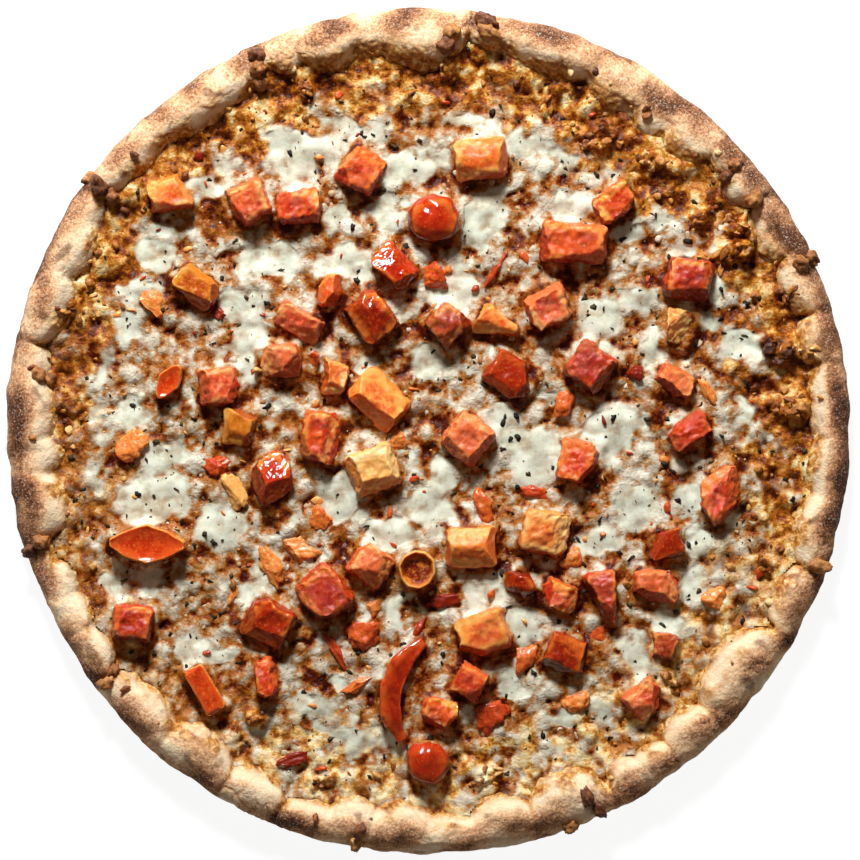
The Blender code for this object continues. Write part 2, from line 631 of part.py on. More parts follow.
def keep_largest_body(obj):
    """Drops loose scraps and sealed hollows that a union can leave."""
    builder = bmesh.new()
    builder.from_mesh(obj.data)
    bmesh.ops.triangulate(builder, faces=builder.faces)
    waiting = set(builder.faces)
    islands = []
    while waiting:
        island = [waiting.pop()]
        for face in island:
            for edge in face.edges:
                for neighbour in edge.link_faces:
                    if neighbour in waiting:
                        waiting.remove(neighbour)
                        island.append(neighbour)
        islands.append(island)
    islands.sort(key=len)
    for island in islands[:-1]:
        bmesh.ops.delete(builder, geom=island, context="FACES")
    builder.to_mesh(obj.data)
    builder.free()


def main():
    clear_scene()
    parts = new_collection("white_pizza")
    helpers = new_collection("fused_toppings")
    crust_material = new_material("crust", CRUST_COLOUR, 0.85)
    cheese_material = new_material("cheese", CHEESE_COLOUR, 0.45)
    herb_material = new_material("herb", HERB_COLOUR, 0.8)
    tomato_materials = {tone: new_material(f"tomato_{tone}", colour, 0.35) for tone, colour in TONES.items()}
    make_crust(parts, helpers, crust_material)
    cheese = make_cheese(parts, cheese_material)
    surface = surface_of(cheese)
    make_tomatoes(parts, surface, tomato_materials)
    add_toppings(helpers, surface, cheese_material, herb_material, tomato_materials)
    fuse(cheese, helpers)


main()
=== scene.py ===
import math
import random

import bmesh
import bpy
import numpy as np
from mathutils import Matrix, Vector, noise
from mathutils.geometry import convex_hull_2d


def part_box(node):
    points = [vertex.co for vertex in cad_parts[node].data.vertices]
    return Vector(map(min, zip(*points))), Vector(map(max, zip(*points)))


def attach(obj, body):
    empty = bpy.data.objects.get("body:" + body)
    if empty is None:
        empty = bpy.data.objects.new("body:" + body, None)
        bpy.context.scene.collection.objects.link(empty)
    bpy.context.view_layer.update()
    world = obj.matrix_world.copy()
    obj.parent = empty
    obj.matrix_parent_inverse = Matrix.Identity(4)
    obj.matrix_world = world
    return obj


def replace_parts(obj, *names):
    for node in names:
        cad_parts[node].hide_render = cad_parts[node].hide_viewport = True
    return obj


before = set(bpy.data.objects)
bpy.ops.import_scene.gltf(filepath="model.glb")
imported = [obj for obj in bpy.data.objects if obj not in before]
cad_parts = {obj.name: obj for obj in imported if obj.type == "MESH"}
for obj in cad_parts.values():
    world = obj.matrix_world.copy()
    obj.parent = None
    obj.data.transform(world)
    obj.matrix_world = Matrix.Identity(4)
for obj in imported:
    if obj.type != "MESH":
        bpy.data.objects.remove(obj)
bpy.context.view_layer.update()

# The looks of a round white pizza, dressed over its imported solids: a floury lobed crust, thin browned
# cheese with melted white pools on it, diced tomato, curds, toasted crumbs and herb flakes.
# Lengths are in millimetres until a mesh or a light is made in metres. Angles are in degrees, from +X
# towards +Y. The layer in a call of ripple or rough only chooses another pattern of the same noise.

MM = 0.001

# The frame of the picture, and the light.
PICTURE_SIDE = 860
MM_A_PIXEL = 0.3538
MIDDLE_PIXEL = (428.2, 431.0)
CAMERA_HEIGHT = 1500.0
PIZZA_TOP = 14.0
SENSOR = 36.0
LIGHT_AZIMUTH = 98.0
LIGHT_ELEVATION = 36.0
LIGHT_DISTANCE = 1300.0
LIGHT_SIDE = 260.0
LIGHT_WATTS = 26.5
SKY_STRENGTH = 0.1
SKY_COLOUR = (1.0, 0.82, 0.64, 1.0)
FLOOR_GLOW = 1.15
FLOOR_GLOW_SHARE = 0.8
FLOOR_SIDE = 8000.0
FLOOR_GAP = 0.2

# The rim's law, as in the solids.
QUARTER_TURN = 0.5 * math.pi
PIZZA_RADIUS = 150.0
TOP_LIMIT = 18.3
FLOOR_TOP = 5.0
BELLY_HEIGHT = 6.0
UNDERSIDE_INSET = 6.5
CREASE_REACH = 12.0
CREASE_HEIGHT = 11.6
CREST_SHARE = 0.48
INNER_BULGE = 0.85
CREASE_WANDER = 0.9
LOBE_SPREAD = 1.2
LOBE_ROUND = 0.55
LOBE_STRETCH = 1.1
OUTLINE_ANGLES = np.arange(3601) / 10.0
OUTLINE_GRAIN = 9.0
OUTLINE_GRAIN_RADIUS = 60.0

# The rim's mesh, how brown the underside is at its edge, and the masks of the flat underside.
RIM_STEPS = 1250
INNER_ROWS = 30
OUTER_ROWS = 26
UNDER_ROWS = 9
BASE_RINGS = 7
EDGE_BROWN = 0.6
BASE_MASKS = {"brown": 0.34, "base": 1.0}

# Each puffed lobe of the rim: middle angle, half width, reach in from the outer edge, height, browning.
LOBES = (
    (4, 5.5, 15, 14, 0.6), (13, 3, 17, 14.5, 0.15), (21.5, 3.5, 16, 13.5, 0.35), (30, 3.8, 19, 13, 0.45),
    (38, 2.8, 16, 15, 0.3), (42.5, 2, 14, 13.5, 0.8), (48.5, 3.5, 20, 13.5, 0.15), (55, 3.5, 21, 12.5, 0.7),
    (61.5, 4, 20, 14, 0.3), (72, 6.3, 17, 16, 0.62), (81, 2.8, 14, 13.5, 0.7), (91, 5.5, 22, 16, 0.15),
    (98, 3, 17, 13, 0.5), (104.5, 3.8, 19, 15.5, 0.45), (110.5, 2.2, 15, 13, 0.6),
    (123.5, 7.3, 17, 15.5, 0.45), (136, 6.3, 14, 15, 0.3), (148, 2.5, 14, 13, 0.5), (153, 4.6, 17, 15, 0.5),
    (161.5, 4.6, 17, 15.5, 0.55), (170.5, 2.6, 15, 12.5, 0.45), (177.5, 5, 18, 16, 0.8),
    (183.5, 2.8, 20, 14.5, 0.3), (190.5, 4.6, 20, 16, 0.75), (202, 2.4, 15, 13, 0.5),
    (207.5, 3, 15, 14, 0.25), (213, 3.2, 14, 14.5, 0.8), (220.5, 2.2, 15, 13.5, 0.3),
    (225, 4.2, 17, 15.5, 0.65), (234.5, 4.6, 20, 15.5, 0.5), (244, 3.8, 17, 15, 0.25),
    (253, 3.2, 14, 14.5, 0.7), (259, 3.2, 19, 15, 0.4), (266, 4.3, 19, 15.5, 0.4), (273, 3.5, 15, 15, 0.2),
    (280.5, 4, 20, 15.5, 0.2), (290.5, 5, 22, 16, 0.15), (300, 2.4, 17, 14, 0.5), (304, 2.6, 15, 14.5, 0.5),
    (311, 3.5, 18, 15, 0.1), (322, 6.6, 22, 16, 0.2), (335.5, 4, 16, 14.5, 0.2), (346, 4.6, 16, 15, 0.2),
    (355, 4.4, 15, 14.5, 0.55),
)

# Where the outline swells or draws in: middle angle, half width, amount.
OUTLINE_SWELLS = (
    (100, 22, 0.5), (268, 26, 0.3), (207, 18, -1.2), (45, 10, -0.5), (145, 12, 0.4), (325, 14, -0.4),
)

# Burnt ridges and crumbs baked onto the rim: angle, distance from the middle, length outwards, width, height.
RIM_CRUMBS = (
    (24.6, 147, 9, 6, 6), (35, 134, 20, 5, 6), (41, 139, 14, 4, 5), (81.7, 145, 8, 8, 6),
    (87, 139, 9, 6, 5), (115.2, 142, 13, 6, 6), (143.6, 143, 22, 5, 7), (196.5, 145, 10, 5, 5),
    (217.5, 143, 9, 4, 5), (259.8, 146, 9, 4, 5), (290, 149, 4, 6, 4), (294, 144, 11, 4, 4),
    (341, 147, 6, 5, 5), (172, 138, 8, 6, 5),
)
RIM_CRUMB_LENGTH = 5.0
CRUMB_OVERHANG = 1.6

# The thin cheese, which covers the dish, and the melted pools on it.
BED_LEVEL = 2.6
BED_STEP = 0.8
BED_REACH = 0.36
BED_CLIMB = 1.3
CURD_HEIGHT = 2.8
SETTLE_MARGIN = 3.0
SETTLE_RISE = 0.9
MELT_RISE = 0.7
MELT_EDGE = (-1.8, 3.8)
POOL_BLEND = 1.3
PALE_DIRECTION = 286.0
TOASTED_DIRECTION = 55.0

# Pools of melted cheese: middle x and y, half length, half width, turn.
CHEESE_POOLS = (
    (-45, 99, 17, 9, 5), (-8, 94, 20, 7, 10), (32, 102, 10, 7, 0), (20, 76, 9, 13, -20), (8, 50, 11, 10, 0),
    (-27, 61, 12, 7, 0), (-56, 61, 14, 7, 0), (-97, 64, 7, 9, 0), (-99, 50, 9, 5, 0), (-107, 36, 7, 8, 0),
    (-68, 46, 9, 7, 0), (-64, 29, 6, 16, 0), (52, 79, 8, 7, 0), (93, 64, 9, 6, 0), (61, 41, 9, 9, 0),
    (75, 46, 7, 6, 0), (80, 30, 5, 8, 0), (112, 30, 9, 7, 0), (100, 39, 5, 7, 0), (64, -1, 9, 16, -35),
    (38, -10, 13, 12, 0), (27, 4, 8, 8, 0), (-1, 25, 10, 8, 0), (1, -28, 12, 10, 0), (-15, -37, 10, 8, 0),
    (-31, -24, 11, 10, 0), (-98, -24, 15, 11, 0), (-75, -33, 10, 11, 0), (-61, -56, 7, 5, 0),
    (-73, -79, 8, 5, 0), (-42, -98, 10, 6, 0), (-28, -108, 11, 6, 0), (-11, -64, 4, 12, -15),
    (17, -61, 6, 7, 0), (61, -39, 12, 8, 0), (75, -26, 12, 8, 0), (93, -25, 7, 7, 0), (75, -82, 8, 12, 35),
    (47, -101, 8, 4, 0), (33, -69, 9, 7, 0), (29, -90, 8, 5, 0), (96, -40, 6, 6, 0), (-111, -54, 8, 7, 0),
    (47, -115, 8, 4, 0), (88, -11, 4, 4, 0), (-69, 93, 10, 4, 15), (-49, 89, 8, 4, 0), (-106, 6, 6, 6, 0),
    (-93, -9, 10, 7, 0), (4, -13, 5, 13, -10), (-59, -47, 3, 10, -30), (-15, -111, 8, 5, 0),
    (-19, -85, 5, 4, 0), (-120, -44, 4, 5, 0), (88, 2, 6, 5, 0), (-10, 38, 3, 9, -25), (-33, 76, 7, 6, 0),
    (-15, 77, 8, 8, 0), (60, 92, 8, 4, 0), (25, -55, 6, 4, 0), (-28, 108, 16, 5, 0), (18, 109, 18, 5, -5),
    (-56, 103, 8, 5, 20), (48, 96, 10, 5, -20), (-80, 88, 10, 6, 40), (-93, 76, 8, 5, 60),
    (70, 70, 8, 6, 0), (85, 75, 6, 4, -45), (102, 52, 6, 7, 0), (112, 8, 5, 8, 0), (117, -5, 4, 8, 0),
    (108, -30, 5, 9, -15), (95, -55, 8, 6, -60), (85, -68, 8, 6, -45), (62, -100, 8, 5, -30),
    (-60, -105, 8, 5, 30), (-85, -78, 8, 6, 45), (-98, -55, 7, 5, 60), (-110, -62, 5, 5, 0),
    (-118, -20, 5, 9, 10), (-117, 5, 5, 7, 0), (-115, 22, 5, 7, -10), (-105, 50, 6, 6, 0),
)

# How far red, green and blue light go in dough and cheese, and in tomato.
PALE_DEPTHS = (1.0, 0.5, 0.25)
TOMATO_DEPTHS = (1.0, 0.3, 0.1)

# How the tomato looks: side, top, core and edge colours, and roughness. The darker side colour, on the steep
# sides, is partly painted shade; the top colour is also painted onto sides that face the lamp, as painted
# light.
LOOKS = {
    "orange": ((0.64, 0.085, 0.007), (0.88, 0.26, 0.032), (0.76, 0.09, 0.008), (0.96, 0.56, 0.15), 0.26),
    "yellow": ((0.72, 0.22, 0.024), (0.92, 0.54, 0.16), (0.84, 0.29, 0.04), (0.97, 0.76, 0.4), 0.3),
    "peach": ((0.64, 0.11, 0.012), (0.88, 0.34, 0.075), (0.8, 0.16, 0.024), (0.96, 0.62, 0.23), 0.3),
    "salmon": ((0.5, 0.046, 0.008), (0.8, 0.17, 0.044), (0.62, 0.05, 0.012), (0.95, 0.52, 0.18), 0.28),
    "orange_red": ((0.46, 0.03, 0.003), (0.8, 0.12, 0.015), (0.6, 0.03, 0.004), (0.96, 0.46, 0.1), 0.25),
    "red": ((0.24, 0.009, 0.001), (0.58, 0.046, 0.006), (0.4, 0.012, 0.002), (0.9, 0.32, 0.06), 0.22),
    "pink": ((0.46, 0.036, 0.008), (0.76, 0.13, 0.042), (0.58, 0.04, 0.013), (0.95, 0.48, 0.17), 0.28),
    "deep": ((0.13, 0.005, 0.001), (0.4, 0.022, 0.002), (0.24, 0.008, 0.001), (0.8, 0.22, 0.028), 0.16),
    "glossy": ((0.22, 0.008, 0.001), (0.54, 0.032, 0.005), (0.42, 0.015, 0.002), (0.86, 0.26, 0.035), 0.1),
    "strip": ((0.2, 0.007, 0.001), (0.5, 0.038, 0.005), (0.36, 0.012, 0.002), (0.62, 0.1, 0.014), 0.1),
    "glossy_orange": (
        (0.46, 0.038, 0.004), (0.72, 0.085, 0.01), (0.6, 0.034, 0.004), (0.93, 0.38, 0.06), 0.14,
    ),
    "amber": ((0.26, 0.028, 0.002), (0.66, 0.21, 0.015), (0.44, 0.06, 0.005), (0.88, 0.48, 0.09), 0.14),
    "brown_red": ((0.17, 0.012, 0.002), (0.47, 0.062, 0.01), (0.3, 0.018, 0.003), (0.82, 0.34, 0.08), 0.26),
    "cup": ((0.6, 0.12, 0.01), (0.76, 0.22, 0.025), (0.2, 0.01, 0.001), (0.92, 0.5, 0.12), 0.2),
}

# The look of each piece of tomato, in the order of its nodes, and the material slot of each look.
TOMATO_LOOKS = (
    "orange", "salmon", "orange_red", "amber", "orange_red", "orange", "glossy", "glossy", "orange", "deep",
    "pink", "salmon", "red", "peach", "brown_red", "orange", "salmon", "deep", "orange_red", "orange_red",
    "red", "peach", "red", "salmon", "red", "glossy_orange", "salmon", "amber", "orange_red", "orange",
    "yellow", "glossy", "glossy_orange", "salmon", "orange", "peach", "orange_red", "orange_red", "deep",
    "orange_red", "red", "salmon", "deep", "red", "salmon", "cup", "deep", "orange_red", "glossy_orange",
    "red", "orange", "strip", "orange_red", "glossy", "orange_red", "deep", "brown_red", "salmon",
)
LOOK_SLOTS = {
    "orange": "tomato_orange", "yellow": "tomato_amber", "peach": "tomato_orange", "salmon": "tomato_salmon",
    "orange_red": "tomato_orange", "red": "tomato_red", "pink": "tomato_salmon", "deep": "tomato_dark",
    "glossy": "tomato_dark", "strip": "tomato_dark", "glossy_orange": "tomato_red", "amber": "tomato_amber",
    "brown_red": "tomato_dark", "cup": "tomato_amber",
}

# Hollow looks, looks without knife cuts, looks with a fine grain, and the roughness that counts as glossy.
BOAT_LOOKS = ("glossy_orange", "cup")
ROUND_LOOKS = ("glossy", "strip", *BOAT_LOOKS)
GLAZED_LOOKS = ("amber", "deep", "orange", *ROUND_LOOKS)
GLOSSY_BELOW = 0.18

# How the solids of the tomato are meshed again, and how much wider the top gets.
TOMATO_VOXEL = 0.62
TOMATO_SMOOTHING = 2
TOP_SPREAD = 0.05

# Knife cuts of the pieces that stand out, by node number: tilt from level, direction faced, depth, tone.
CUTS = {
    4: ((16, 60, 2.0, 0.8), (48, 250, 2.6, 0.0), (50, 10, 1.6, 0.6)),
    6: ((14, 100, 1.6, 0.8), (40, 250, 2.2, 0.3), (50, 350, 1.6, 0.7)),
    8: ((27, 100, 2.4, 0.5), (52, 310, 2.0, 0.8)),
    16: ((12, 60, 1.2, 0.6), (40, 250, 2.0, 0.9), (50, 110, 1.5, 0.4)),
    19: ((12, 110, 1.4, 0.6), (45, 280, 2.4, 0.2), (45, 60, 1.4, 0.8), (50, 190, 2.0, 0.5)),
    21: ((14, 95, 1.4, 0.7), (58, 275, 2.6, 0.1), (45, 20, 1.6, 0.5)),
    30: ((30, 45, 2.8, 0.95), (44, 238, 3.4, 0.05), (50, 150, 2.0, 0.6)),
    31: ((10, 90, 1.2, 0.85), (46, 285, 2.8, 0.2), (50, 200, 1.8, 0.6), (50, 20, 1.4, 0.9)),
    32: ((25, 78, 3.0, 0.5), (44, 300, 3.2, 0.3), (50, 190, 2.4, 0.6)),
    34: ((12, 120, 1.0, 0.5), (42, 60, 1.6, 0.85), (48, 220, 2.2, 0.8), (50, 320, 1.8, 0.7)),
    35: ((30, 92, 2.2, 0.95), (34, 268, 2.4, 0.35), (50, 10, 1.6, 0.7)),
    41: ((16, 100, 1.2, 0.5), (48, 230, 2.6, 0.2), (45, 340, 2.0, 0.7)),
}

# How deeply the hollow pieces are scooped out, by node number.
HOLLOWS = {26: 1.8, 33: 3.4, 38: 2.4, 46: 3.0, 52: 0.8, 17: 1.6, 40: 1.0}

# Browned clumps of cheese near the rim: x, y, length, width, height, turn, how dark from 0 to 1.
BROWNED_CLUMPS = (
    (61, 105, 14, 11, 4, 10, 0.5), (79, 96, 10, 8, 3, -40, 0.35), (108, 63, 18, 8, 4, 28, 0.55),
    (97, 76, 10, 5, 3, 10, 0.7), (110, 72, 12, 5, 3, 15, 0.4), (124, 30, 12, 13, 4, 80, 0.85),
    (128, 8, 17, 9, 4, -5, 0.45), (133, 28, 11, 6, 3, 0, 0.3), (-61, -102, 8, 8, 4, 0, 0.55),
    (44, 119, 12, 7, 3, 60, 0.45), (-44, 121, 10, 6, 3, -60, 0.5), (-91, 91, 9, 6, 3, -45, 0.5),
    (7, 128, 9, 6, 3, 80, 0.4), (-128, 44, 9, 7, 3, 0, 0.5), (128, 48, 9, 6, 3, 70, 0.6),
    (119, -48, 9, 6, 3, -60, 0.5), (20, -122, 12, 6, 3, 20, 0.3), (-38, -124, 9, 6, 3, 0, 0.4),
    (86, -88, 8, 5, 3, -45, 0.4),
)

# Small things: lumps in each clump, crumbs on the rim's slope, cuts round a shard, sides of a flake.
LUMPS_A_CLUMP = 6
SLOPE_CRUMBS = 70
CHIPS = 9
FLAKE_SIDES = 9

# Small tomato bits on the cheese: x, y, length, width, height, turn, how dark from 0 to 1.
TOMATO_BITS = (
    (-98.5, 45.5, 12, 8, 5, -40, 0.2), (3.2, 54.3, 9, 8.5, 6, 0, 0.5), (99.5, 13, 11, 3.5, 3, -65, 0.2),
    (-68.6, -22, 12, 6.5, 4, -60, 0.0), (-105.5, -4.5, 10, 9, 5, 30, 0.2), (-75.5, -12.5, 8, 8, 4, 20, 0.6),
    (19.3, -26.3, 10, 7.5, 5, -70, 0.4), (38, -21.8, 14, 5.5, 3, -5, 0.6),
    (-55.5, -48.5, 14, 6, 4, -60, 0.2), (-45, -42, 14, 7.5, 3, 0, 0.2), (21.5, -101, 11, 11, 4, 15, 0.6),
    (101.5, -60, 9, 8, 5, 30, 0.2), (-22.5, -71.5, 10, 9.5, 5, 15, 0.5), (-49.5, -117, 13, 4.5, 4, 20, 0.9),
    (-25.5, -90, 15, 4, 3, 30, 0.3), (-32.5, -79, 14, 3.5, 3, -60, 0.6), (6, -60.5, 12, 4.5, 3, 15, 0.9),
    (53, -96, 9, 6.5, 4, 10, 0.2), (34, -81.5, 11, 8, 4, 85, 0.4), (74, 20, 6, 5.5, 4, 0, 0.9),
    (48.5, 9, 9, 7, 3, 80, 0.4), (-38, -31, 8, 6.5, 3, 70, 0.3), (52, -45.5, 8, 7.5, 3, 0, 0.2),
    (61, -72, 8, 8, 3, 0, 0.5), (-3.5, -71, 10, 4, 3, 70, 0.7), (-69.5, -58, 10, 2.5, 2.5, 60, 0.2),
    (24.5, 58, 12, 2.2, 2, 60, 0.6), (-75.5, 42, 7, 5, 3, 0, 0.8), (-11.5, -4, 7, 6, 3, 20, 0.2),
    (-19, -62, 7, 6, 3, 0, 0.2),
)

# Where the random draws of each piece start. To the last three, the number of the copy is added.
SEEDS = {
    "burnt_crumbs": 21, "curds": 5, "toasted_crumbs": 8, "browned_clumps": 31, "herb_flakes": 11,
    "tomato_bits": 14,
}
TOMATO_SEED = 299
CHIP_SEED = 500
FLAKE_SEED = 900


# --- smooth unevenness ---

GRADIENTS = np.array(
    [(i, j, 0) for i in (1, -1) for j in (1, -1)]
    + [(i, 0, k) for i in (1, -1) for k in (1, -1)]
    + [(0, j, k) for j in (1, -1) for k in (1, -1)],
    float,
)
CORNERS = [(i, j, k) for i in (0, 1) for j in (0, 1) for k in (0, 1)]
LAYER_SHIFT = 31.7
RIPPLE_GAIN = 1.4


def lattice_number(i, j, k):
    """A repeatable whole number for each corner of a lattice."""
    mixed = (i * 374761393 + j * 668265263 + k * 1442695041) & 0x7FFFFFFF
    mixed = ((mixed ^ (mixed >> 13)) * 1274126177) & 0x7FFFFFFF
    return mixed ^ (mixed >> 16)


def ripple(x, y, size, layer=0, z=0.0):
    """Gradient noise between about -1 and 1, with bumps of that size. Each layer is another pattern."""
    places = np.broadcast_arrays(x / size + LAYER_SHIFT * layer, y / size, np.asarray(z) / size)
    cells = [np.floor(place).astype(np.int64) for place in places]
    parts = [place - cell for place, cell in zip(places, cells)]
    fades = [part * part * part * (part * (part * 6.0 - 15.0) + 10.0) for part in parts]
    total = 0.0
    for corner in CORNERS:
        numbers = lattice_number(*(cell + c for cell, c in zip(cells, corner)))
        slopes = GRADIENTS[numbers % len(GRADIENTS)]
        value = sum(slopes[..., axis] * (parts[axis] - corner[axis]) for axis in range(3))
        for fade, c in zip(fades, corner):
            value = value * (fade if c else 1.0 - fade)
        total = total + value
    return total * RIPPLE_GAIN


def rough(x, y, size, octaves, layer=0, z=0.0):
    """Noise of several sizes, each half the one before."""
    total = 0.0
    for octave in range(octaves):
        total = total + ripple(x, y, size * 0.5 ** octave, layer + 7 * octave, z) * 0.55 ** octave
    return total


def eased(value, low, high):
    """0 below low and 1 above high, smooth between them."""
    share = np.clip((value - low) / (high - low), 0.0, 1.0)
    return share * share * (3.0 - 2.0 * share)


# --- meshes ---


def turned(x, y, angle):
    """A place in axes turned by that many degrees: how far along them it lies, and how far across."""
    way = math.radians(angle)
    return x * math.cos(way) + y * math.sin(way), y * math.cos(way) - x * math.sin(way)


def linked(name, data):
    """A new object in the scene."""
    obj = bpy.data.objects.new(name, data)
    bpy.context.scene.collection.objects.link(obj)
    return obj


def new_piece(name, points, faces, masks, material, slot=None):
    """A smooth mesh object from points in millimetres, riding on the pizza's body."""
    mesh = bpy.data.meshes.new(name)
    mesh.vertices.add(len(points))
    mesh.vertices.foreach_set("co", (points * MM).astype(np.float32).ravel())
    mesh.loops.add(faces.size)
    mesh.loops.foreach_set("vertex_index", faces.astype(np.int32).ravel())
    mesh.polygons.add(len(faces))
    mesh.polygons.foreach_set("loop_start", np.arange(0, faces.size, faces.shape[1], dtype=np.int32))
    mesh.update(calc_edges=True)
    mesh.validate()
    mesh.shade_smooth()
    mesh.materials.append(material)
    for mask, values in masks.items():
        layer = mesh.attributes.new(mask, "FLOAT", "POINT")
        layer.data.foreach_set("value", values.astype(np.float32))
    obj = linked(name, mesh)
    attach(obj, "root")
    return obj


def grid_faces(rows, columns, closed):
    """Quads between neighbouring rows of points, and back to the first column when closed."""
    row = np.arange(rows - 1)[:, None]
    column = np.arange(columns if closed else columns - 1)[None, :]
    following = (column + 1) % columns
    corners = [row * columns + column, row * columns + following]
    corners += [corner + columns for corner in reversed(corners)]
    return np.stack([corner.ravel() for corner in corners], axis=1)


def height_field(step, height_at, keeps):
    """Points and quads of a surface z = height_at(x, y), over the cells whose corners are all kept."""
    line = np.arange(-PIZZA_RADIUS, PIZZA_RADIUS + step, step)
    x, y = np.meshgrid(line, line)
    quads = grid_faces(len(line), len(line), False)
    quads = quads[keeps(x, y).ravel()[quads].all(axis=1)]
    used = np.unique(quads)
    place = np.zeros(x.size, np.int64)
    place[used] = np.arange(len(used))
    x, y = x.ravel()[used], y.ravel()[used]
    return np.stack([x, y, height_at(x, y)], axis=1), place[quads]


def ball(subdivisions):
    """The points and triangles of a ball of radius 1."""
    builder = bmesh.new()
    bmesh.ops.create_icosphere(builder, subdivisions=subdivisions, radius=1.0)
    points = np.array([vert.co[:] for vert in builder.verts])
    faces = np.array([[vert.index for vert in face.verts] for face in builder.faces])
    builder.free()
    return points, faces


def scattered(shape, rows, reshape):
    """Copies of a shape and their tones, none above the pizza's top.

    Each row says x, y, z, length, width, height, turn, tilt and tone.
    """
    points, faces = shape
    all_points, all_faces, tones = [], [], []
    for count, (x, y, z, length, width, height, turn, tilt, tone) in enumerate(rows):
        copy = reshape(points, count) * np.array([0.5 * length, 0.5 * width, 0.5 * height])
        along, up = turned(copy[:, 0], copy[:, 2], -tilt)
        east, north = turned(along, copy[:, 1], -turn)
        all_points.append(np.stack([east + x, north + y, np.minimum(up + z, TOP_LIMIT)], axis=1))
        all_faces.append(faces + len(points) * count)
        tones.append(np.full(len(points), tone))
    return np.concatenate(all_points), np.concatenate(all_faces), {"tone": np.concatenate(tones)}


def chipped(points, count):
    """Each copy of a ball as a shard of its own, with flat faces."""
    draw = np.random.RandomState(CHIP_SEED + count)
    for _ in range(CHIPS):
        facing = draw.normal(size=3)
        facing /= np.linalg.norm(facing)
        beyond = np.maximum(points @ facing - draw.uniform(0.45, 0.8), 0.0)
        points = points - beyond[:, None] * facing
    x, y, z = points.T
    return points * (1.15 + 0.16 * rough(x + 5.0 * count, y, 0.9, 2, count % 11, z))[:, None]


def torn(points, count):
    """Each copy of a ball as a ragged scrap."""
    points = chipped(points, count)
    x, y, z = points.T
    return points * (1.05 + 0.19 * rough(x + 7.0 * count, y, 0.55, 3, count % 7, z))[:, None]


def crumpled(points, count):
    """Each copy of a ball as an uneven crumb."""
    x, y, z = points.T
    return points * (1.0 + 0.4 * rough(x + 9.0 * count, y, 0.8, 3, count % 13, z))[:, None]


def ragged(points, count):
    """Each copy of a flake with an outline of its own."""
    draw = np.random.RandomState(FLAKE_SEED + count)
    return points * (1.0 + draw.uniform(-0.45, 0.35, (len(points), 1)))


# --- materials ---


class Value:
    """What a node gives out, which takes part in sums with numbers and with other values."""

    def __init__(self, finish, socket):
        self.finish = finish
        self.socket = socket

    def __add__(self, other):
        return self.finish.calc("ADD", self, other)

    def __sub__(self, other):
        return self.finish.calc("SUBTRACT", self, other)

    def __mul__(self, other):
        return self.finish.calc("MULTIPLY", self, other)

    __radd__, __rmul__ = __add__, __mul__


class Finish:
    """A material's nodes, added by short calls that return their values."""

    def __init__(self, name, **settings):
        self.material = bpy.data.materials.new(name)
        self.material.use_nodes = True
        self.tree = self.material.node_tree
        self.shader = self.tree.nodes["Principled BSDF"]
        self.place = self.node("TexCoord", "Object", {})
        self.give(**settings)

    def node(self, kind, output, inputs, **settings):
        """What a new node with these inputs and settings gives out."""
        node = self.tree.nodes.new("ShaderNode" + kind)
        for name, value in settings.items():
            setattr(node, name, value)
        for socket, value in inputs.items():
            self.wire(value, node.inputs[socket])
        return Value(self, node.outputs[output])

    def wire(self, value, target):
        """Gives a socket a node's value, a number, or a colour or direction of three numbers."""
        if isinstance(value, Value):
            self.tree.links.new(value.socket, target)
        elif isinstance(value, tuple):
            target.default_value = (*value, 1.0)[:len(target.default_value)]
        elif value is not None:
            target.default_value = value

    def give(self, **values):
        """Gives the shader's own sockets values, and returns the material."""
        for name, value in values.items():
            self.wire(value, self.shader.inputs[name.replace("_", " ")])
        return self.material

    def mask(self, name):
        """The value of a mesh's mask."""
        return self.node("Attribute", "Fac", {}, attribute_name=name)

    def noise(self, size, detail=3.0, roughness=0.55, distortion=0.0):
        """Noise from 0 to 1, mostly near 0.5, with patches of that many millimetres."""
        return self.node("TexNoise", "Fac", {
            "Vector": self.place, "Scale": 1.0 / (size * MM), "Detail": detail, "Roughness": roughness,
            "Distortion": distortion,
        })

    def grains(self, size, wobble):
        """Irregular grains: 1 in the middle of each, 0 in the gaps between them."""
        scale = 1.0 / (size * MM)
        shaken = self.node("TexNoise", "Color", {"Vector": self.place, "Scale": scale})
        inputs = {0: shaken, 1: (wobble * MM,) * 3, 2: self.place}
        place = self.node("VectorMath", "Vector", inputs, operation="MULTIPLY_ADD")
        return self.between(self.node("TexVoronoi", "Distance", {"Vector": place, "Scale": scale}), 0.75, 0.1)

    def calc(self, operation, first, second):
        """A sum, difference or product."""
        return self.node("Math", 0, {0: first, 1: second}, operation=operation)

    def between(self, value, low, high, to_low=0.0, to_high=1.0):
        """Goes smoothly from to_low to to_high while the value goes from low to high."""
        inputs = {"Value": value, "From Min": low, "From Max": high, "To Min": to_low, "To Max": to_high}
        return self.node("MapRange", "Result", inputs, interpolation_type="SMOOTHSTEP")

    def ramp(self, value, *stops):
        """A colour from stops, each of them a position, red, green and blue."""
        colour = self.node("ValToRGB", "Color", {"Fac": value})
        elements = colour.socket.node.color_ramp.elements
        while len(elements) < len(stops):
            elements.new(0.5)
        for element, (position, *rgb) in zip(elements, stops):
            element.position = position
            element.color = (*rgb, 1.0)
        return colour

    def mix(self, share, first, second):
        """A colour that goes from the first to the second with the share."""
        return self.node("Mix", 2, {0: share, 6: first, 7: second}, data_type="RGBA")

    def bump(self, height, depth, under=None):
        """Relief of that many millimetres from a height between 0 and 1, over another relief."""
        return self.node("Bump", "Normal", {
            "Strength": 1.0, "Distance": depth * MM, "Height": height, "Normal": under,
        })


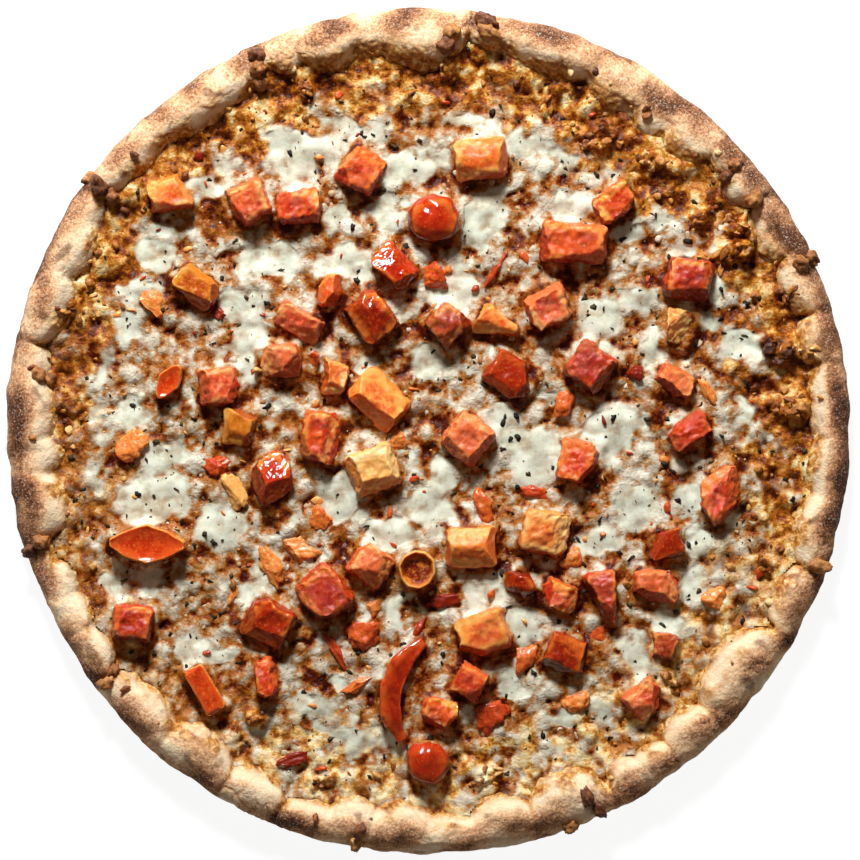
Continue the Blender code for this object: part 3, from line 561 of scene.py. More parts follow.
def crust_finish():
    """Baked dough: cream to dark brown, floury outside, with browned cheese in its creases."""
    f = Finish(
        "crust", Specular_IOR_Level=0.3, Subsurface_Weight=0.22, Subsurface_Scale=0.004,
        Subsurface_Radius=PALE_DEPTHS,
    )
    flour, cheesy = f.mask("flour"), f.mask("cheesy")
    patchy = 0.36 * (f.noise(6.0) - 0.5)
    grainy = 1.1 * (f.noise(0.9, 2.0, 0.7) - 0.5)
    blotches = 0.55 * f.between(f.noise(15.0, 4.0, 0.6), 0.5, 0.68) + (f.noise(4.0, 4.0, 0.6) - 0.5)
    dough = f.ramp(
        f.mask("brown") + patchy + grainy * flour + blotches * f.mask("base"),
        (0.08, 0.95, 0.76, 0.52), (0.3, 0.9, 0.58, 0.33), (0.5, 0.64, 0.33, 0.16),
        (0.75, 0.32, 0.13, 0.052), (1.0, 0.09, 0.028, 0.01),
    )
    specks = f.between(f.noise(0.75, 2.0, 0.6), 0.56, 0.66) * flour
    dough = f.mix(0.45 * specks, dough, (0.86, 0.74, 0.6))
    golden = f.ramp(
        f.noise(2.6, 4.0, 0.65, 0.6), (0.32, 0.2, 0.05, 0.006), (0.43, 0.44, 0.15, 0.018),
        (0.53, 0.68, 0.33, 0.07), (0.64, 0.9, 0.7, 0.38),
    )
    colour = f.mix(f.mask("burn"), f.mix(cheesy, dough, golden), (0.15, 0.05, 0.018))
    fine = f.bump(f.noise(0.9, 3.0, 0.7), 0.35)
    return f.give(
        Base_Color=colour, Roughness=f.between(cheesy, 0.0, 1.0, 0.85, 0.42),
        Normal=f.bump(f.noise(3.2), 0.7, fine),
    )


def cheese_finish():
    """Cheese: smooth white where it melted, pale curds in oily sauce elsewhere, toasted near the rim, and
    darker bare cheese as painted shadow on the tomatoes' near sides.
    """
    f = Finish(
        "cheese_top", Specular_IOR_Level=0.2, Subsurface_Weight=0.18, Subsurface_Scale=0.0025,
        Subsurface_Radius=PALE_DEPTHS,
    )
    curd, melt, grains = f.mask("curd"), f.mask("melt"), f.grains(2.8, 3.4)
    curdy = 0.75 * curd + 0.16 * grains + (f.noise(2.4, 4.0, 0.65) - 0.5)
    # Darker where the mask holds sauce patches and painted shadow beside the tomatoes.
    plain = f.ramp(
        curdy - (0.3 * f.mask("juice") + 0.05) + 0.45 * melt,
        (0.1, 0.07, 0.006, 0.001), (0.26, 0.27, 0.05, 0.004), (0.38, 0.44, 0.16, 0.026),
        (0.49, 0.45, 0.28, 0.14), (0.62, 0.58, 0.48, 0.36), (0.84, 0.73, 0.69, 0.55),
    )
    toasted = f.ramp(
        0.45 * curd + 2.3 * f.noise(5.5, 5.0, 0.66) - 0.9 - 0.8 * f.mask("scorch"),
        (0.16, 0.055, 0.008, 0.001), (0.36, 0.2, 0.038, 0.004), (0.5, 0.44, 0.13, 0.01),
        (0.62, 0.62, 0.27, 0.035), (0.76, 0.82, 0.56, 0.22), (0.94, 0.9, 0.76, 0.48),
    )
    white = f.ramp(
        0.62 * f.noise(5.0, 5.0, 0.62) + 0.15 + 0.15 * curd,
        (0.38, 0.45, 0.34, 0.21), (0.46, 0.57, 0.5, 0.36), (0.53, 0.69, 0.7, 0.55), (0.63, 0.83, 0.86, 0.71),
    )
    colour = f.mix(f.between(f.mask("toast") + 0.5 * (f.noise(4.5) - 0.5), 0.15, 0.75), plain, toasted)
    colour = f.mix(f.between(melt + 0.6 * (f.noise(2.6, 4.0, 0.6) - 0.5), 0.34, 0.98), colour, white)
    oily = f.between(f.noise(6.5, 4.0, 0.65), 0.53, 0.68) * f.between(melt, 0.3, 1.0, 0.8, 0.22)
    rugged = f.between(melt, 0.2, 0.9, 1.0, 0.22)
    fine = f.bump(f.noise(0.9, 3.0, 0.6) * rugged, 0.4)
    middling = f.bump(grains * rugged, 0.12, fine)
    return f.give(
        Base_Color=f.mix(oily, colour, (0.42, 0.135, 0.014)),
        Roughness=f.between(f.noise(2.2, 2.0), 0.35, 0.65, 0.16, 0.38),
        Normal=f.bump(f.noise(2.6, 2.0) * rugged, 0.6, middling),
    )


def tomato_finish(name, side, top, core, edge, roughness):
    """Roasted tomato: its cut faces, wet core and paler edges, with grains in the flesh; painted light on
    faces towards the lamp, painted shade on the far sides, and partly painted highlights on ridges and pale
    specks.
    """
    f = Finish(
        name, Specular_IOR_Level=0.25, Subsurface_Weight=0.55, Subsurface_Scale=0.003,
        Subsurface_Radius=TOMATO_DEPTHS, Coat_Weight=0.6, Coat_Roughness=0.07,
    )
    # The lighter top colour, on upward faces and, as painted light, on sides that face the lamp.
    upper = f.between(f.mask("top") + 0.5 * f.noise(3.0), 0.25, 0.8)
    facet = f.mask("facet")
    colour = side
    for share, tint in (
        (upper, top),
        # Painted shade: the darker side colour over each piece's side away from the lamp.
        (f.between(f.mask("near") + (f.noise(4.0) - 0.5), 0.6, 1.05, 0.0, 0.4), side),
        (f.between(facet, 0.6, 1.0, 0.0, 0.32), edge),
        (f.between(facet, 0.5, 0.0, 0.0, 0.9), core),
        (f.mask("core") * f.between(f.noise(2.8, 3.0, 0.6), 0.36, 0.56), core),
        (f.mask("edge") * f.between(f.noise(3.4), 0.34, 0.54), edge),
        # Pale edge colour on convex ridges: partly paler flesh at the cut edges, partly painted highlight.
        (f.mask("ridge") * f.between(f.noise(2.5), 0.3, 0.6, 0.35, 1.0), edge),
        # Pale specks on the upper faces: partly flesh grain, partly painted glints.
        (0.5 * (f.between(f.noise(1.1, 4.0, 0.7), 0.53, 0.68) * upper), edge),
        (0.42 * f.between(f.noise(2.2, 4.0, 0.7), 0.54, 0.7), side),
    ):
        colour = f.mix(share, colour, tint)
    relief, wetness = (0.06, 0.1) if roughness < GLOSSY_BELOW else (0.22, 2.6)
    fine = f.bump(f.noise(1.0, 4.0, 0.65), relief)
    return f.give(
        Base_Color=colour, Normal=f.bump(f.noise(2.8), relief, fine),
        Coat_Normal=f.bump(f.noise(1.5, 2.0), wetness),
        Roughness=f.between(f.noise(1.6), 0.35, 0.65, max(roughness - 0.14, 0.06), roughness + 0.08),
    )


def char_finish():
    """Burnt ridges of cheese and crumbs on the rim."""
    f = Finish("burnt_crumbs", Specular_IOR_Level=0.5)
    colour = f.ramp(
        0.8 * f.noise(1.6, 4.0, 0.65) + 0.5 * f.mask("tone"), (0.3, 0.8, 0.5, 0.2),
        (0.48, 0.56, 0.24, 0.06), (0.68, 0.28, 0.085, 0.022), (0.92, 0.075, 0.022, 0.01),
    )
    roughness = f.between(f.noise(2.0), 0.4, 0.6, 0.35, 0.7)
    return f.give(Base_Color=colour, Roughness=roughness, Normal=f.bump(f.noise(0.8, 4.0, 0.7), 0.4))


def herb_finish():
    """Dried herb, nearly black with a green cast."""
    f = Finish("dried_herb", Roughness=0.7, Specular_IOR_Level=0.3)
    stops = (0.0, 0.012, 0.009, 0.005), (0.7, 0.035, 0.028, 0.01), (1.0, 0.09, 0.065, 0.02)
    colour = f.ramp(f.mask("tone"), *stops)
    return f.give(Base_Color=colour, Normal=f.bump(f.noise(0.5), 0.15))


def crumb_finish(name, mottling, relief, stops, shine=None, **settings):
    """Small things, each with the colour of its own tone.

    Mottling and relief say how much, and then the size of the noise and its other settings.
    Shine is the least and the greatest roughness.
    """
    f = Finish(name, **settings)
    toned = f.mask("tone") + mottling[0] * (f.noise(*mottling[1:]) - 0.5)
    if shine:
        f.give(Roughness=f.between(f.noise(1.5), 0.4, 0.6, *shine))
    return f.give(Base_Color=f.ramp(toned, *stops), Normal=f.bump(f.noise(*relief[1:]), relief[0]))


def curd_finish():
    """Small curds that kept their shape, some of them with a browned top."""
    return crumb_finish(
        "curds", mottling=(0.6, 1.4), relief=(0.25, 0.9), Roughness=0.42, Specular_IOR_Level=0.45, stops=(
            (0.1, 0.74, 0.7, 0.56), (0.38, 0.58, 0.5, 0.37), (0.6, 0.52, 0.32, 0.15),
            (0.85, 0.36, 0.14, 0.03),
        ),
    )


def toast_finish():
    """Crumbs of cheese toasted golden to dark brown."""
    return crumb_finish(
        "toasted_crumbs", mottling=(0.9, 1.2, 4.0), relief=(0.3, 0.7, 4.0, 0.7), shine=(0.25, 0.55),
        Specular_IOR_Level=0.5, stops=(
            (0.05, 0.88, 0.66, 0.34), (0.3, 0.74, 0.38, 0.09), (0.54, 0.5, 0.17, 0.022),
            (0.78, 0.24, 0.065, 0.014), (1.0, 0.055, 0.014, 0.006),
        ),
    )


def bit_finish():
    """Small bits of tomato, from bright orange to dark red."""
    return crumb_finish(
        "tomato_bits", mottling=(0.7, 1.6), relief=(0.3, 1.0), shine=(0.2, 0.45), Specular_IOR_Level=0.4,
        Subsurface_Weight=0.4, Subsurface_Scale=0.002, Coat_Weight=0.2, Coat_Roughness=0.1, stops=(
            (0.0, 0.94, 0.48, 0.13), (0.25, 0.84, 0.22, 0.035), (0.55, 0.62, 0.07, 0.01),
            (0.85, 0.26, 0.013, 0.002),
        ),
    )


# --- the rim ---


def turn_between(first, second):
    """The smallest angle from one direction to another."""
    return (first - second + 180.0) % 360.0 - 180.0


def lobes_at(angle):
    """The rim's reach and height in these directions, its browning, and how far on a lobe they are."""
    middle, half_width, reach, height, shade = np.array(LOBES).T
    offset = turn_between(np.asarray(angle)[..., None], middle) / (half_width * LOBE_SPREAD)
    dome = np.clip(1.0 - offset * offset, 0.0, 1.0) ** LOBE_ROUND
    weight = dome ** 2 + 1e-6
    return (
        CREASE_REACH + ((reach * LOBE_STRETCH - CREASE_REACH) * dome).max(axis=-1),
        CREASE_HEIGHT + ((height - CREASE_HEIGHT) * dome).max(axis=-1),
        (weight * shade).sum(axis=-1) / weight.sum(axis=-1),
        dome.max(axis=-1),
    )


def outline_table():
    """The outer edge's distance from the middle in each of the outline's directions."""
    made = []
    for angle in OUTLINE_ANGLES:
        way = math.radians(angle)
        radius = PIZZA_RADIUS
        for middle, half_width, amount in OUTLINE_SWELLS:
            radius += amount * math.exp(-(turn_between(angle, middle) / half_width) ** 2)
        place = [f(way) * OUTLINE_GRAIN_RADIUS / OUTLINE_GRAIN for f in (math.cos, math.sin)]
        made.append(radius + 0.5 * noise.noise(Vector((*place, 0.0))))
    return np.array(made)


OUTLINE = outline_table()


def outline_radius(angle):
    """The outer edge's distance from the middle in these directions."""
    return np.interp(angle % 360.0, OUTLINE_ANGLES, OUTLINE)


def rim_lines(angle):
    """The distance of the rim's foot, crest and outer edge from the middle."""
    reach = lobes_at(angle)[0]
    outer = outline_radius(angle)
    return outer - reach, outer - reach * CREST_SHARE, outer


def direction(x, y):
    """The direction of places as seen from the middle, from 0 to 360 degrees."""
    return np.degrees(np.arctan2(y, x)) % 360.0


def rim_point(angle, row):
    """The rim's section: row 0 is its foot, 1 its crest, 2 the widest line and 3 the underside's edge."""
    way = np.radians(angle)
    wander = CREASE_WANDER * ripple(140.0 * np.cos(way) + 9.0 * row, 140.0 * np.sin(way), 14.0, 3)
    reach, height, shade, dome = lobes_at(angle + wander * np.clip(row, 0.0, 1.0))
    outer = outline_radius(angle)
    foot, crest = outer - reach, outer - reach * CREST_SHARE
    inside, outside, below = (QUARTER_TURN * np.clip(row - start, 0.0, 1.0) for start in (0.0, 1.0, 2.0))
    section = [row <= 1.0, row <= 2.0]
    radius = np.select(section, [
        foot + (crest - foot) * row,
        crest + (outer - crest) * np.sin(outside),
    ], outer - UNDERSIDE_INSET * (1.0 - np.cos(below)))
    level = np.select(section, [
        FLOOR_TOP + (height - FLOOR_TOP) * np.sin(inside) ** INNER_BULGE,
        BELLY_HEIGHT + (height - BELLY_HEIGHT) * np.cos(outside),
    ], BELLY_HEIGHT * (1.0 - np.sin(below)))
    return np.stack([radius * np.cos(way), radius * np.sin(way), level], axis=-1), shade, dome


def rim_height(angle, radius):
    """The height of the rim's upper face at one place."""
    foot, crest, outer = rim_lines(angle)
    height = lobes_at(angle)[1]
    if radius <= crest:
        share = max(0.0, (radius - foot) / (crest - foot))
        return FLOOR_TOP + (height - FLOOR_TOP) * math.sin(QUARTER_TURN * share) ** INNER_BULGE
    share = min(1.0, (radius - crest) / (outer - crest))
    return BELLY_HEIGHT + (height - BELLY_HEIGHT) * math.sqrt(1.0 - share * share)


def pushed_out(points, amount):
    """A closed loft moved along its own normals."""
    along = np.gradient(points, axis=0)
    around = np.roll(points, -1, axis=1) - np.roll(points, 1, axis=1)
    normal = np.cross(around, along)
    normal /= np.linalg.norm(normal, axis=-1, keepdims=True) + 1e-9
    return points - normal * amount[..., None]


def crumb_mark(points):
    """How near points of the rim are to a burnt crumb, from 0 to 1."""
    mark = np.zeros(points.shape[:-1])
    for angle, radius, length, width, _ in RIM_CRUMBS:
        along, across = turned(points[..., 0], points[..., 1], angle)
        near = 1.0 - np.hypot((along - radius) / (0.62 * length), across / (0.8 * width))
        mark = np.maximum(mark, np.clip(near, 0.0, 1.0))
    return mark


def crust_surface(row, angle):
    """The loft's points with bumps, wrinkles and grain, and the masks of its looks; its brown mask also holds
    painted shade in the hollows and painted light and shade by direction.
    """
    points, shade, dome = rim_point(angle, row)
    x, y, z = np.moveaxis(points, -1, 0)
    crease = eased(dome, 0.62, 0.2)
    upper_half = 0.5 + 0.5 * np.cos(np.radians(angle - 70.0))
    cheesy = crease * 1.1 + eased(row, 0.55, 0.2)
    cheesy = cheesy + 0.9 * eased(ripple(x, y, 9.0, 11, z) + 0.5 * upper_half, 0.22, 0.55)
    cheesy = np.clip(cheesy, 0.0, 1.0) * eased(row, 1.15 + 0.15 * crease, 0.6)
    wrinkles = np.clip(1.0 - np.abs(ripple(x, y, 4.6, 5, z)) * 5.0, 0.0, 1.0)
    wrinkles = wrinkles * eased(ripple(x, y, 16.0, 8), -0.1, 0.3)

    bumps = 0.6 * ripple(x, y, 9.0, 1, z) + 0.25 * ripple(x, y, 4.2, 2, z)
    bumps -= 0.3 * wrinkles * eased(row, 0.5, 0.9)
    bumps += 0.12 * ripple(x, y, 1.5, 4, z) * eased(row, 0.9, 1.3)
    bumps += cheesy * (0.55 * np.abs(ripple(x, y, 3.0, 6, z)) + 0.25 * ripple(x, y, 1.8, 7, z))
    points = pushed_out(points, bumps * eased(z, 0.5, 4.0))

    outside = eased(row, 0.62, 1.38)
    brown = 0.06 + 0.3 * outside + 0.55 * outside * shade + 0.42 * ripple(x, y, 12.0, 9, z) * (0.15 + outside)
    # Browner in the creases between lobes and in the wrinkles' grooves: partly browning, partly painted shade
    # of these hollows.
    brown += 0.28 * crease + 0.2 * wrinkles
    # Painted light and shade by direction: towards the near side (-Y) the inner slope, which faces the lamp,
    # is painted a little darker, and the outer band, which lies in shade, is painted lighter.
    brown += eased(-np.sin(np.radians(angle)), 0.1, 0.8) * (0.07 - 0.22 * eased(row, 0.85, 1.35))
    brown += 0.26 * eased(np.cos(np.radians(angle - 10.0)), 0.55, 0.95) * eased(row, 0.75, 1.25)
    base = eased(row, 2.3, 3.0)
    brown += (EDGE_BROWN - brown) * base
    burn = crumb_mark(points) * 0.7 + 0.6 * eased(ripple(x, y, 6.0, 12, z), 0.62, 0.8) * eased(row, 0.2, 0.8)
    flour = eased(row, 0.45, 0.95) * eased(row, 2.9, 2.2)
    return points, {"brown": brown, "flour": flour, "cheesy": cheesy, "burn": burn, "base": base}


def make_crust(material):
    """The rim as a fine loft, closed by rings of the flat underside and by the floor of the dish."""
    rows = np.concatenate([
        np.linspace(-0.1, 1.0, INNER_ROWS), np.linspace(1.0, 2.0, OUTER_ROWS + 1)[1:],
        np.linspace(2.0, 3.0, UNDER_ROWS + 1)[1:],
    ])
    row, angle = np.meshgrid(rows, np.arange(RIM_STEPS) * 360.0 / RIM_STEPS, indexing="ij")
    points, masks = crust_surface(row, angle)
    flat = points[-1] * (1.0, 1.0, 0.0)
    rings = [flat * (1.0 - ring / (BASE_RINGS + 0.6)) for ring in range(1, BASE_RINGS + 1)]
    middles = [[0.0, 0.0, 0.0], [0.0, 0.0, FLOOR_TOP]]
    everything = np.concatenate([points.reshape(-1, 3), *rings, middles])

    first = np.arange(RIM_STEPS)
    after = (first + 1) % RIM_STEPS
    low_middle = (len(rows) + BASE_RINGS) * RIM_STEPS
    last_ring = low_middle - RIM_STEPS
    fans = [(last_ring + first, last_ring + after, low_middle), (after, first, low_middle + 1)]
    quads = grid_faces(len(rows) + BASE_RINGS, RIM_STEPS, True)
    triangles = [np.stack(np.broadcast_arrays(*fan), axis=1) for fan in fans]
    triangles = np.concatenate([*triangles, quads[:, [0, 1, 2]], quads[:, [0, 2, 3]]])

    for name, values in masks.items():
        below = np.full(len(everything) - values.size, BASE_MASKS.get(name, 0.0))
        masks[name] = np.concatenate([np.clip(values, 0.0, 1.0).ravel(), below])
    return new_piece("crust_dough", everything, triangles, masks, material, "crust")


def make_rim_crumbs(material):
    """Burnt ridges and crumbs that stand out of the rim."""
    draw = random.Random(SEEDS["burnt_crumbs"])
    rows = []
    for angle, radius, length, width, height in RIM_CRUMBS:
        pieces = max(1, round(length / RIM_CRUMB_LENGTH))
        for i in range(pieces):
            out = radius + length * ((i + 0.5) / pieces - 0.5)
            turn = angle + draw.uniform(-0.6, 0.6)
            rows.append((
                *turned(out, 0.0, -turn), rim_height(turn, out) + 0.1 * height,
                length / pieces * 1.3, width, height,
                angle + draw.uniform(-20.0, 20.0), draw.uniform(-12.0, 12.0), draw.uniform(0.1, 0.85),
            ))
    points, faces, tones = scattered(ball(3), rows, crumpled)
    x, y, _ = points.T
    limit = outline_radius(direction(x, y)) + CRUMB_OVERHANG
    points[:, :2] *= np.minimum(1.0, limit / np.hypot(x, y))[:, None]
    return new_piece("burnt_crumbs", points, faces, tones, material, "crust")


# --- the cheese ---


def footprints():
    """For each piece of tomato: its base height, its middle, its reach and the lines round its outline."""
    made = []
    for name in sorted(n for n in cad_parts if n.startswith("tomato_")):
        low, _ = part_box(name)
        flat = [Vector((v.co.x / MM, v.co.y / MM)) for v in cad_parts[name].data.vertices]
        hull = np.array([flat[i] for i in convex_hull_2d(flat)])
        side = np.roll(hull, -1, axis=0) - hull
        length = np.linalg.norm(side, axis=1)
        kept = length > 0.05
        hull, side, length = hull[kept], side[kept], length[kept]
        outward = np.stack([side[:, 1], -side[:, 0]], axis=1) / length[:, None]
        middle = hull.mean(axis=0)
        if ((hull - middle) * outward).sum(axis=1).mean() < 0.0:
            outward = -outward
        reach = np.linalg.norm(hull - middle, axis=1).max()
        made.append((low.z / MM, middle, reach, outward, (hull * outward).sum(axis=1)))
    return made


FOOTPRINTS = footprints()


def near_tomato(x, y, margin):
    """For each piece of tomato, the points within a margin of it and how far outside it they are."""
    for base, middle, reach, outward, offset in FOOTPRINTS:
        chosen = np.nonzero(np.hypot(x - middle[0], y - middle[1]) < reach + margin)[0]
        if len(chosen):
            away = np.outer(x[chosen], outward[:, 0]) + np.outer(y[chosen], outward[:, 1]) - offset
            yield base, chosen, away.max(axis=1)


def tomato_distance(x, y, margin):
    """How far outside the nearest piece of tomato points are, up to the margin."""
    nearest = np.full(len(x), margin)
    for _, chosen, away in near_tomato(x, y, margin):
        nearest[chosen] = np.minimum(nearest[chosen], away)
    return nearest


def lumps(x, y, size, layer):
    """Rounded lumps lying side by side: their height from 0 in the gaps to about 1 on the largest."""
    column, line = np.floor(x / size).astype(np.int64), np.floor(y / size).astype(np.int64)
    height = np.zeros(x.shape)
    for i in (-1, 0, 1):
        for j in (-1, 0, 1):
            number = lattice_number(column + i, line + j, layer)
            seed_x = (column + i + (number % 1024) / 1023.0) * size
            seed_y = (line + j + (number // 1024 % 1024) / 1023.0) * size
            reach = size * (0.45 + 0.5 * (number // 1048576 % 256) / 255.0)
            share = np.hypot(x - seed_x, y - seed_y) / reach
            dome = np.sqrt(np.clip(1.0 - share * share, 0.0, 1.0))
            height = np.maximum(height, dome * reach / (0.95 * size))
    return height


def warped(x, y, amount, size, layer):
    """Points shifted by noise, so that a plain outline on them becomes an uneven one."""
    return x + amount * ripple(x, y, size, layer), y + amount * ripple(x, y, size, layer + 1)


def curdled(x, y):
    """The curds of the thin cheese, from 0 in the sauce between them to about 1."""
    warp_x, warp_y = warped(x, y, 0.9, 3.4, 22)
    large = lumps(warp_x, warp_y, 5.0, 24)
    folded = lumps(warp_x + 1.5 * ripple(x, y, 6.0, 44), warp_y + 1.5 * ripple(x, y, 6.0, 45), 7.5, 46)
    large += (folded - large) * 0.75 * eased(toast_at(x, y), 0.2, 0.7)
    both = np.maximum(large, 0.72 * lumps(warp_x, warp_y, 2.9, 25))
    return np.clip(both + 0.3 * ripple(x, y, 7.0, 21) - 0.04, 0.0, 1.1)


def melt_reach(x, y):
    """How many millimetres inside a melted pool points are, below 0 outside."""
    warp_x = x + 3.4 * ripple(x, y, 10.0, 31) + 1.0 * ripple(x, y, 4.6, 32)
    warp_y = y + 3.4 * ripple(x, y, 10.0, 33) + 1.0 * ripple(x, y, 4.6, 34)
    total = np.zeros(len(x))
    for mid_x, mid_y, half_length, half_width, turn in CHEESE_POOLS:
        along, across = turned(warp_x - mid_x, warp_y - mid_y, turn)
        inside = (1.0 - np.hypot(along / half_length, across / half_width)) * min(half_length, half_width)
        total += np.exp(np.clip(inside / POOL_BLEND, -30.0, 20.0))
    reach = POOL_BLEND * np.log(total + 1e-12)
    strands = (1.0 - np.abs(ripple(x, y, 15.0, 35)) * 5.0) * 2.0 - 1.6
    islands = ripple(x, y, 8.5, 36) * 6.0 - 3.0
    reach = np.maximum(reach, np.maximum(strands, islands))
    reach += 1.9 * ripple(x, y, 5.2, 37) + 1.0 * ripple(x, y, 2.6, 38)
    foot = rim_lines(direction(x, y))[0]
    retreat = (5.0 - 4.0 * pale_side(x, y)) * eased(np.hypot(x, y), foot - 8.0, foot)
    # Pulled back near the rim's foot, in the toasted ring, and on each tomato's near side, where the bare
    # darker cheese is painted shadow.
    return reach - retreat - 3.0 * toast_at(x, y) - 1.6 * painted_shadow_side(x, y)


def clumps_at(x, y):
    """How far the browned clumps lift the cheese, how much points are on one, and how scorched they are."""
    rise, share, scorch = np.zeros(x.shape), np.zeros(x.shape), np.zeros(x.shape)
    warp_x, warp_y = warped(x, y, 1.6, 5.0, 61)
    for mid_x, mid_y, length, width, height, turn, tone in BROWNED_CLUMPS:
        along, across = turned(warp_x - mid_x, warp_y - mid_y, turn)
        dome = eased(np.hypot(along / (0.5 * length), across / (0.5 * width)), 1.25, 0.45)
        rise = np.maximum(rise, 0.75 * height * dome)
        scorch = np.where(dome > share, dome * (tone - 0.35), scorch)
        share = np.maximum(share, dome)
    folds = np.abs(ripple(x, y, 4.0, 63)) + 0.5 * np.abs(ripple(x, y, 2.2, 64))
    return rise * (0.65 + 1.1 * folds), share, scorch


def cheese_shape(x, y):
    """The height of the cheese, the share that has melted smooth, and the curds' height."""
    foot = rim_lines(direction(x, y))[0]
    melt = eased(melt_reach(x, y), *MELT_EDGE)
    curd = curdled(x, y)
    level = FLOOR_TOP + BED_LEVEL + 1.0 * ripple(x, y, 14.0, 20)
    level += BED_CLIMB * eased(np.hypot(x, y), foot - 7.0, foot + 2.0)
    thin = level + CURD_HEIGHT * (1.0 + 0.35 * toast_at(x, y)) * (curd - 0.5)
    thick = level + MELT_RISE + 0.7 * ripple(x, y, 6.5, 39) + 0.65 * (curd - 0.5)
    height = thin + (thick - thin) * melt + clumps_at(x, y)[0]
    for base, chosen, away in near_tomato(x, y, SETTLE_MARGIN):
        settled = base + SETTLE_RISE + 0.5 * (curd[chosen] - 0.5) * (1.0 - melt[chosen])
        height[chosen] += (settled - height[chosen]) * eased(away, SETTLE_MARGIN, -0.5)
    return height, melt, curd


def cheese_top(x, y):
    """The height of the cheese at each point."""
    return cheese_shape(*np.atleast_1d(x, y))[0]


def in_dish(x, y, reach):
    """Whether points are inside the rim's foot, or less than that share of the way up to its crest."""
    foot, crest, _ = rim_lines(direction(x, y))
    return np.hypot(x, y) < foot + (crest - foot) * reach


def pale_side(x, y):
    """How much points are on the side where the cheese stayed pale up to the rim, from 0 to 1."""
    return eased(np.cos(np.radians(direction(x, y) - PALE_DIRECTION)), 0.35, 0.85)


def toast_at(x, y):
    """How toasted the thin cheese is: most near the rim, at the far side and the right."""
    angle = direction(x, y)
    share = np.hypot(x, y) / rim_lines(angle)[0]
    strong = 0.66 + 0.34 * np.cos(np.radians(angle - TOASTED_DIRECTION))
    patchy = 0.12 * ripple(x, y, 13.0, 25) + 0.06 * ripple(x, y, 5.0, 29)
    strong = strong * (1.0 - 0.6 * pale_side(x, y))
    return np.clip(eased(share + patchy, 0.8, 0.98) * strong * 1.2, 0.0, 1.0)


def painted_shadow_side(x, y):
    """How much points lie in painted shadow on the near side of a piece of tomato, the side away from the
    lamp, from 0 to 1.
    """
    near = tomato_distance(x, y + 1.6, 5.0) + 1.0 * ripple(x, y, 4.5, 42)
    return eased(near, 2.0, 0.0)


def make_cheese(material):
    """The cheese over the whole dish and a little way up the rim, with the masks of its looks."""
    points, quads = height_field(BED_STEP, cheese_top, lambda x, y: in_dish(x, y, BED_REACH))
    x, y, _ = points.T
    _, melt, curd = cheese_shape(x, y)
    _, clump, scorch = clumps_at(x, y)
    # The sauce patches alone; the painted shadow beside the tomatoes is added to them below.
    juice = eased(ripple(x, y, 12.0, 26) + 0.35 * ripple(x, y, 5.0, 27), 0.15, 0.6)
    creamy = pale_side(x, y) * eased(np.hypot(x, y), 92.0, 120.0)
    creamy_toast = 0.75 * creamy * eased(ripple(x, y, 7.0, 65), -0.35, 0.25)
    piece = new_piece("cheese_top", points, quads, {
        "curd": curd + 0.06 * creamy,
        "melt": melt * (1.0 - clump),
        "toast": np.maximum(toast_at(x, y), np.maximum(clump, creamy_toast)),
        # Sauce patches, and painted shadow on the near side of each piece of tomato.
        "juice": np.maximum(juice, 0.7 * painted_shadow_side(x, y)),
        "scorch": scorch - 0.25 * creamy,
    }, material, "cheese")
    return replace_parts(piece, "cheese")


# --- small things on the cheese ---


def clear_places(draw, count, sizes, spread, reach, gap):
    """Seeded places in the dish that are clear of the tomato, most of them small: rows of x, y and size."""
    made = []
    while len(made) < count:
        radius = PIZZA_RADIUS * math.sqrt(draw.uniform(0.0, reach ** 2))
        way = draw.uniform(0.0, 2.0 * math.pi)
        size = sizes[0] + (sizes[1] - sizes[0]) * draw.random() ** spread
        made.append((radius * math.cos(way), radius * math.sin(way), size))
        if len(made) == count:
            x, y, _ = np.array(made).T
            kept = in_dish(x, y, 0.15) & (tomato_distance(x, y, 4.0) > gap)
            made = [row for row, keep in zip(made, kept) if keep]
    return np.array(made)


def on_cheese(places):
    """Each place with the height of the cheese there: x, y, level and size."""
    x, y, size = places.T
    return zip(x, y, cheese_top(x, y), size)


def make_curds(material):
    """Curds in loose groups between the pools."""
    draw = random.Random(SEEDS["curds"])
    places = clear_places(draw, 700, sizes=(0.8, 3.4), spread=2.8, reach=0.9, gap=0.3)
    x, y, _ = places.T
    places = places[(ripple(x, y, 16.0, 41) > -0.35) & (melt_reach(x, y) < 0.6) & (toast_at(x, y) < 0.3)]
    rows = [
        (x, y, level - 0.12 * size, size * 1.2, size * draw.uniform(0.7, 1.1), size * draw.uniform(0.4, 0.6),
         draw.uniform(0.0, 180.0), draw.uniform(-15.0, 15.0), 0.36 + 0.5 * draw.random() ** 1.6)
        for x, y, level, size in on_cheese(places)
    ]
    return new_piece("curds", *scattered(ball(2), rows, chipped), material, "cheese")


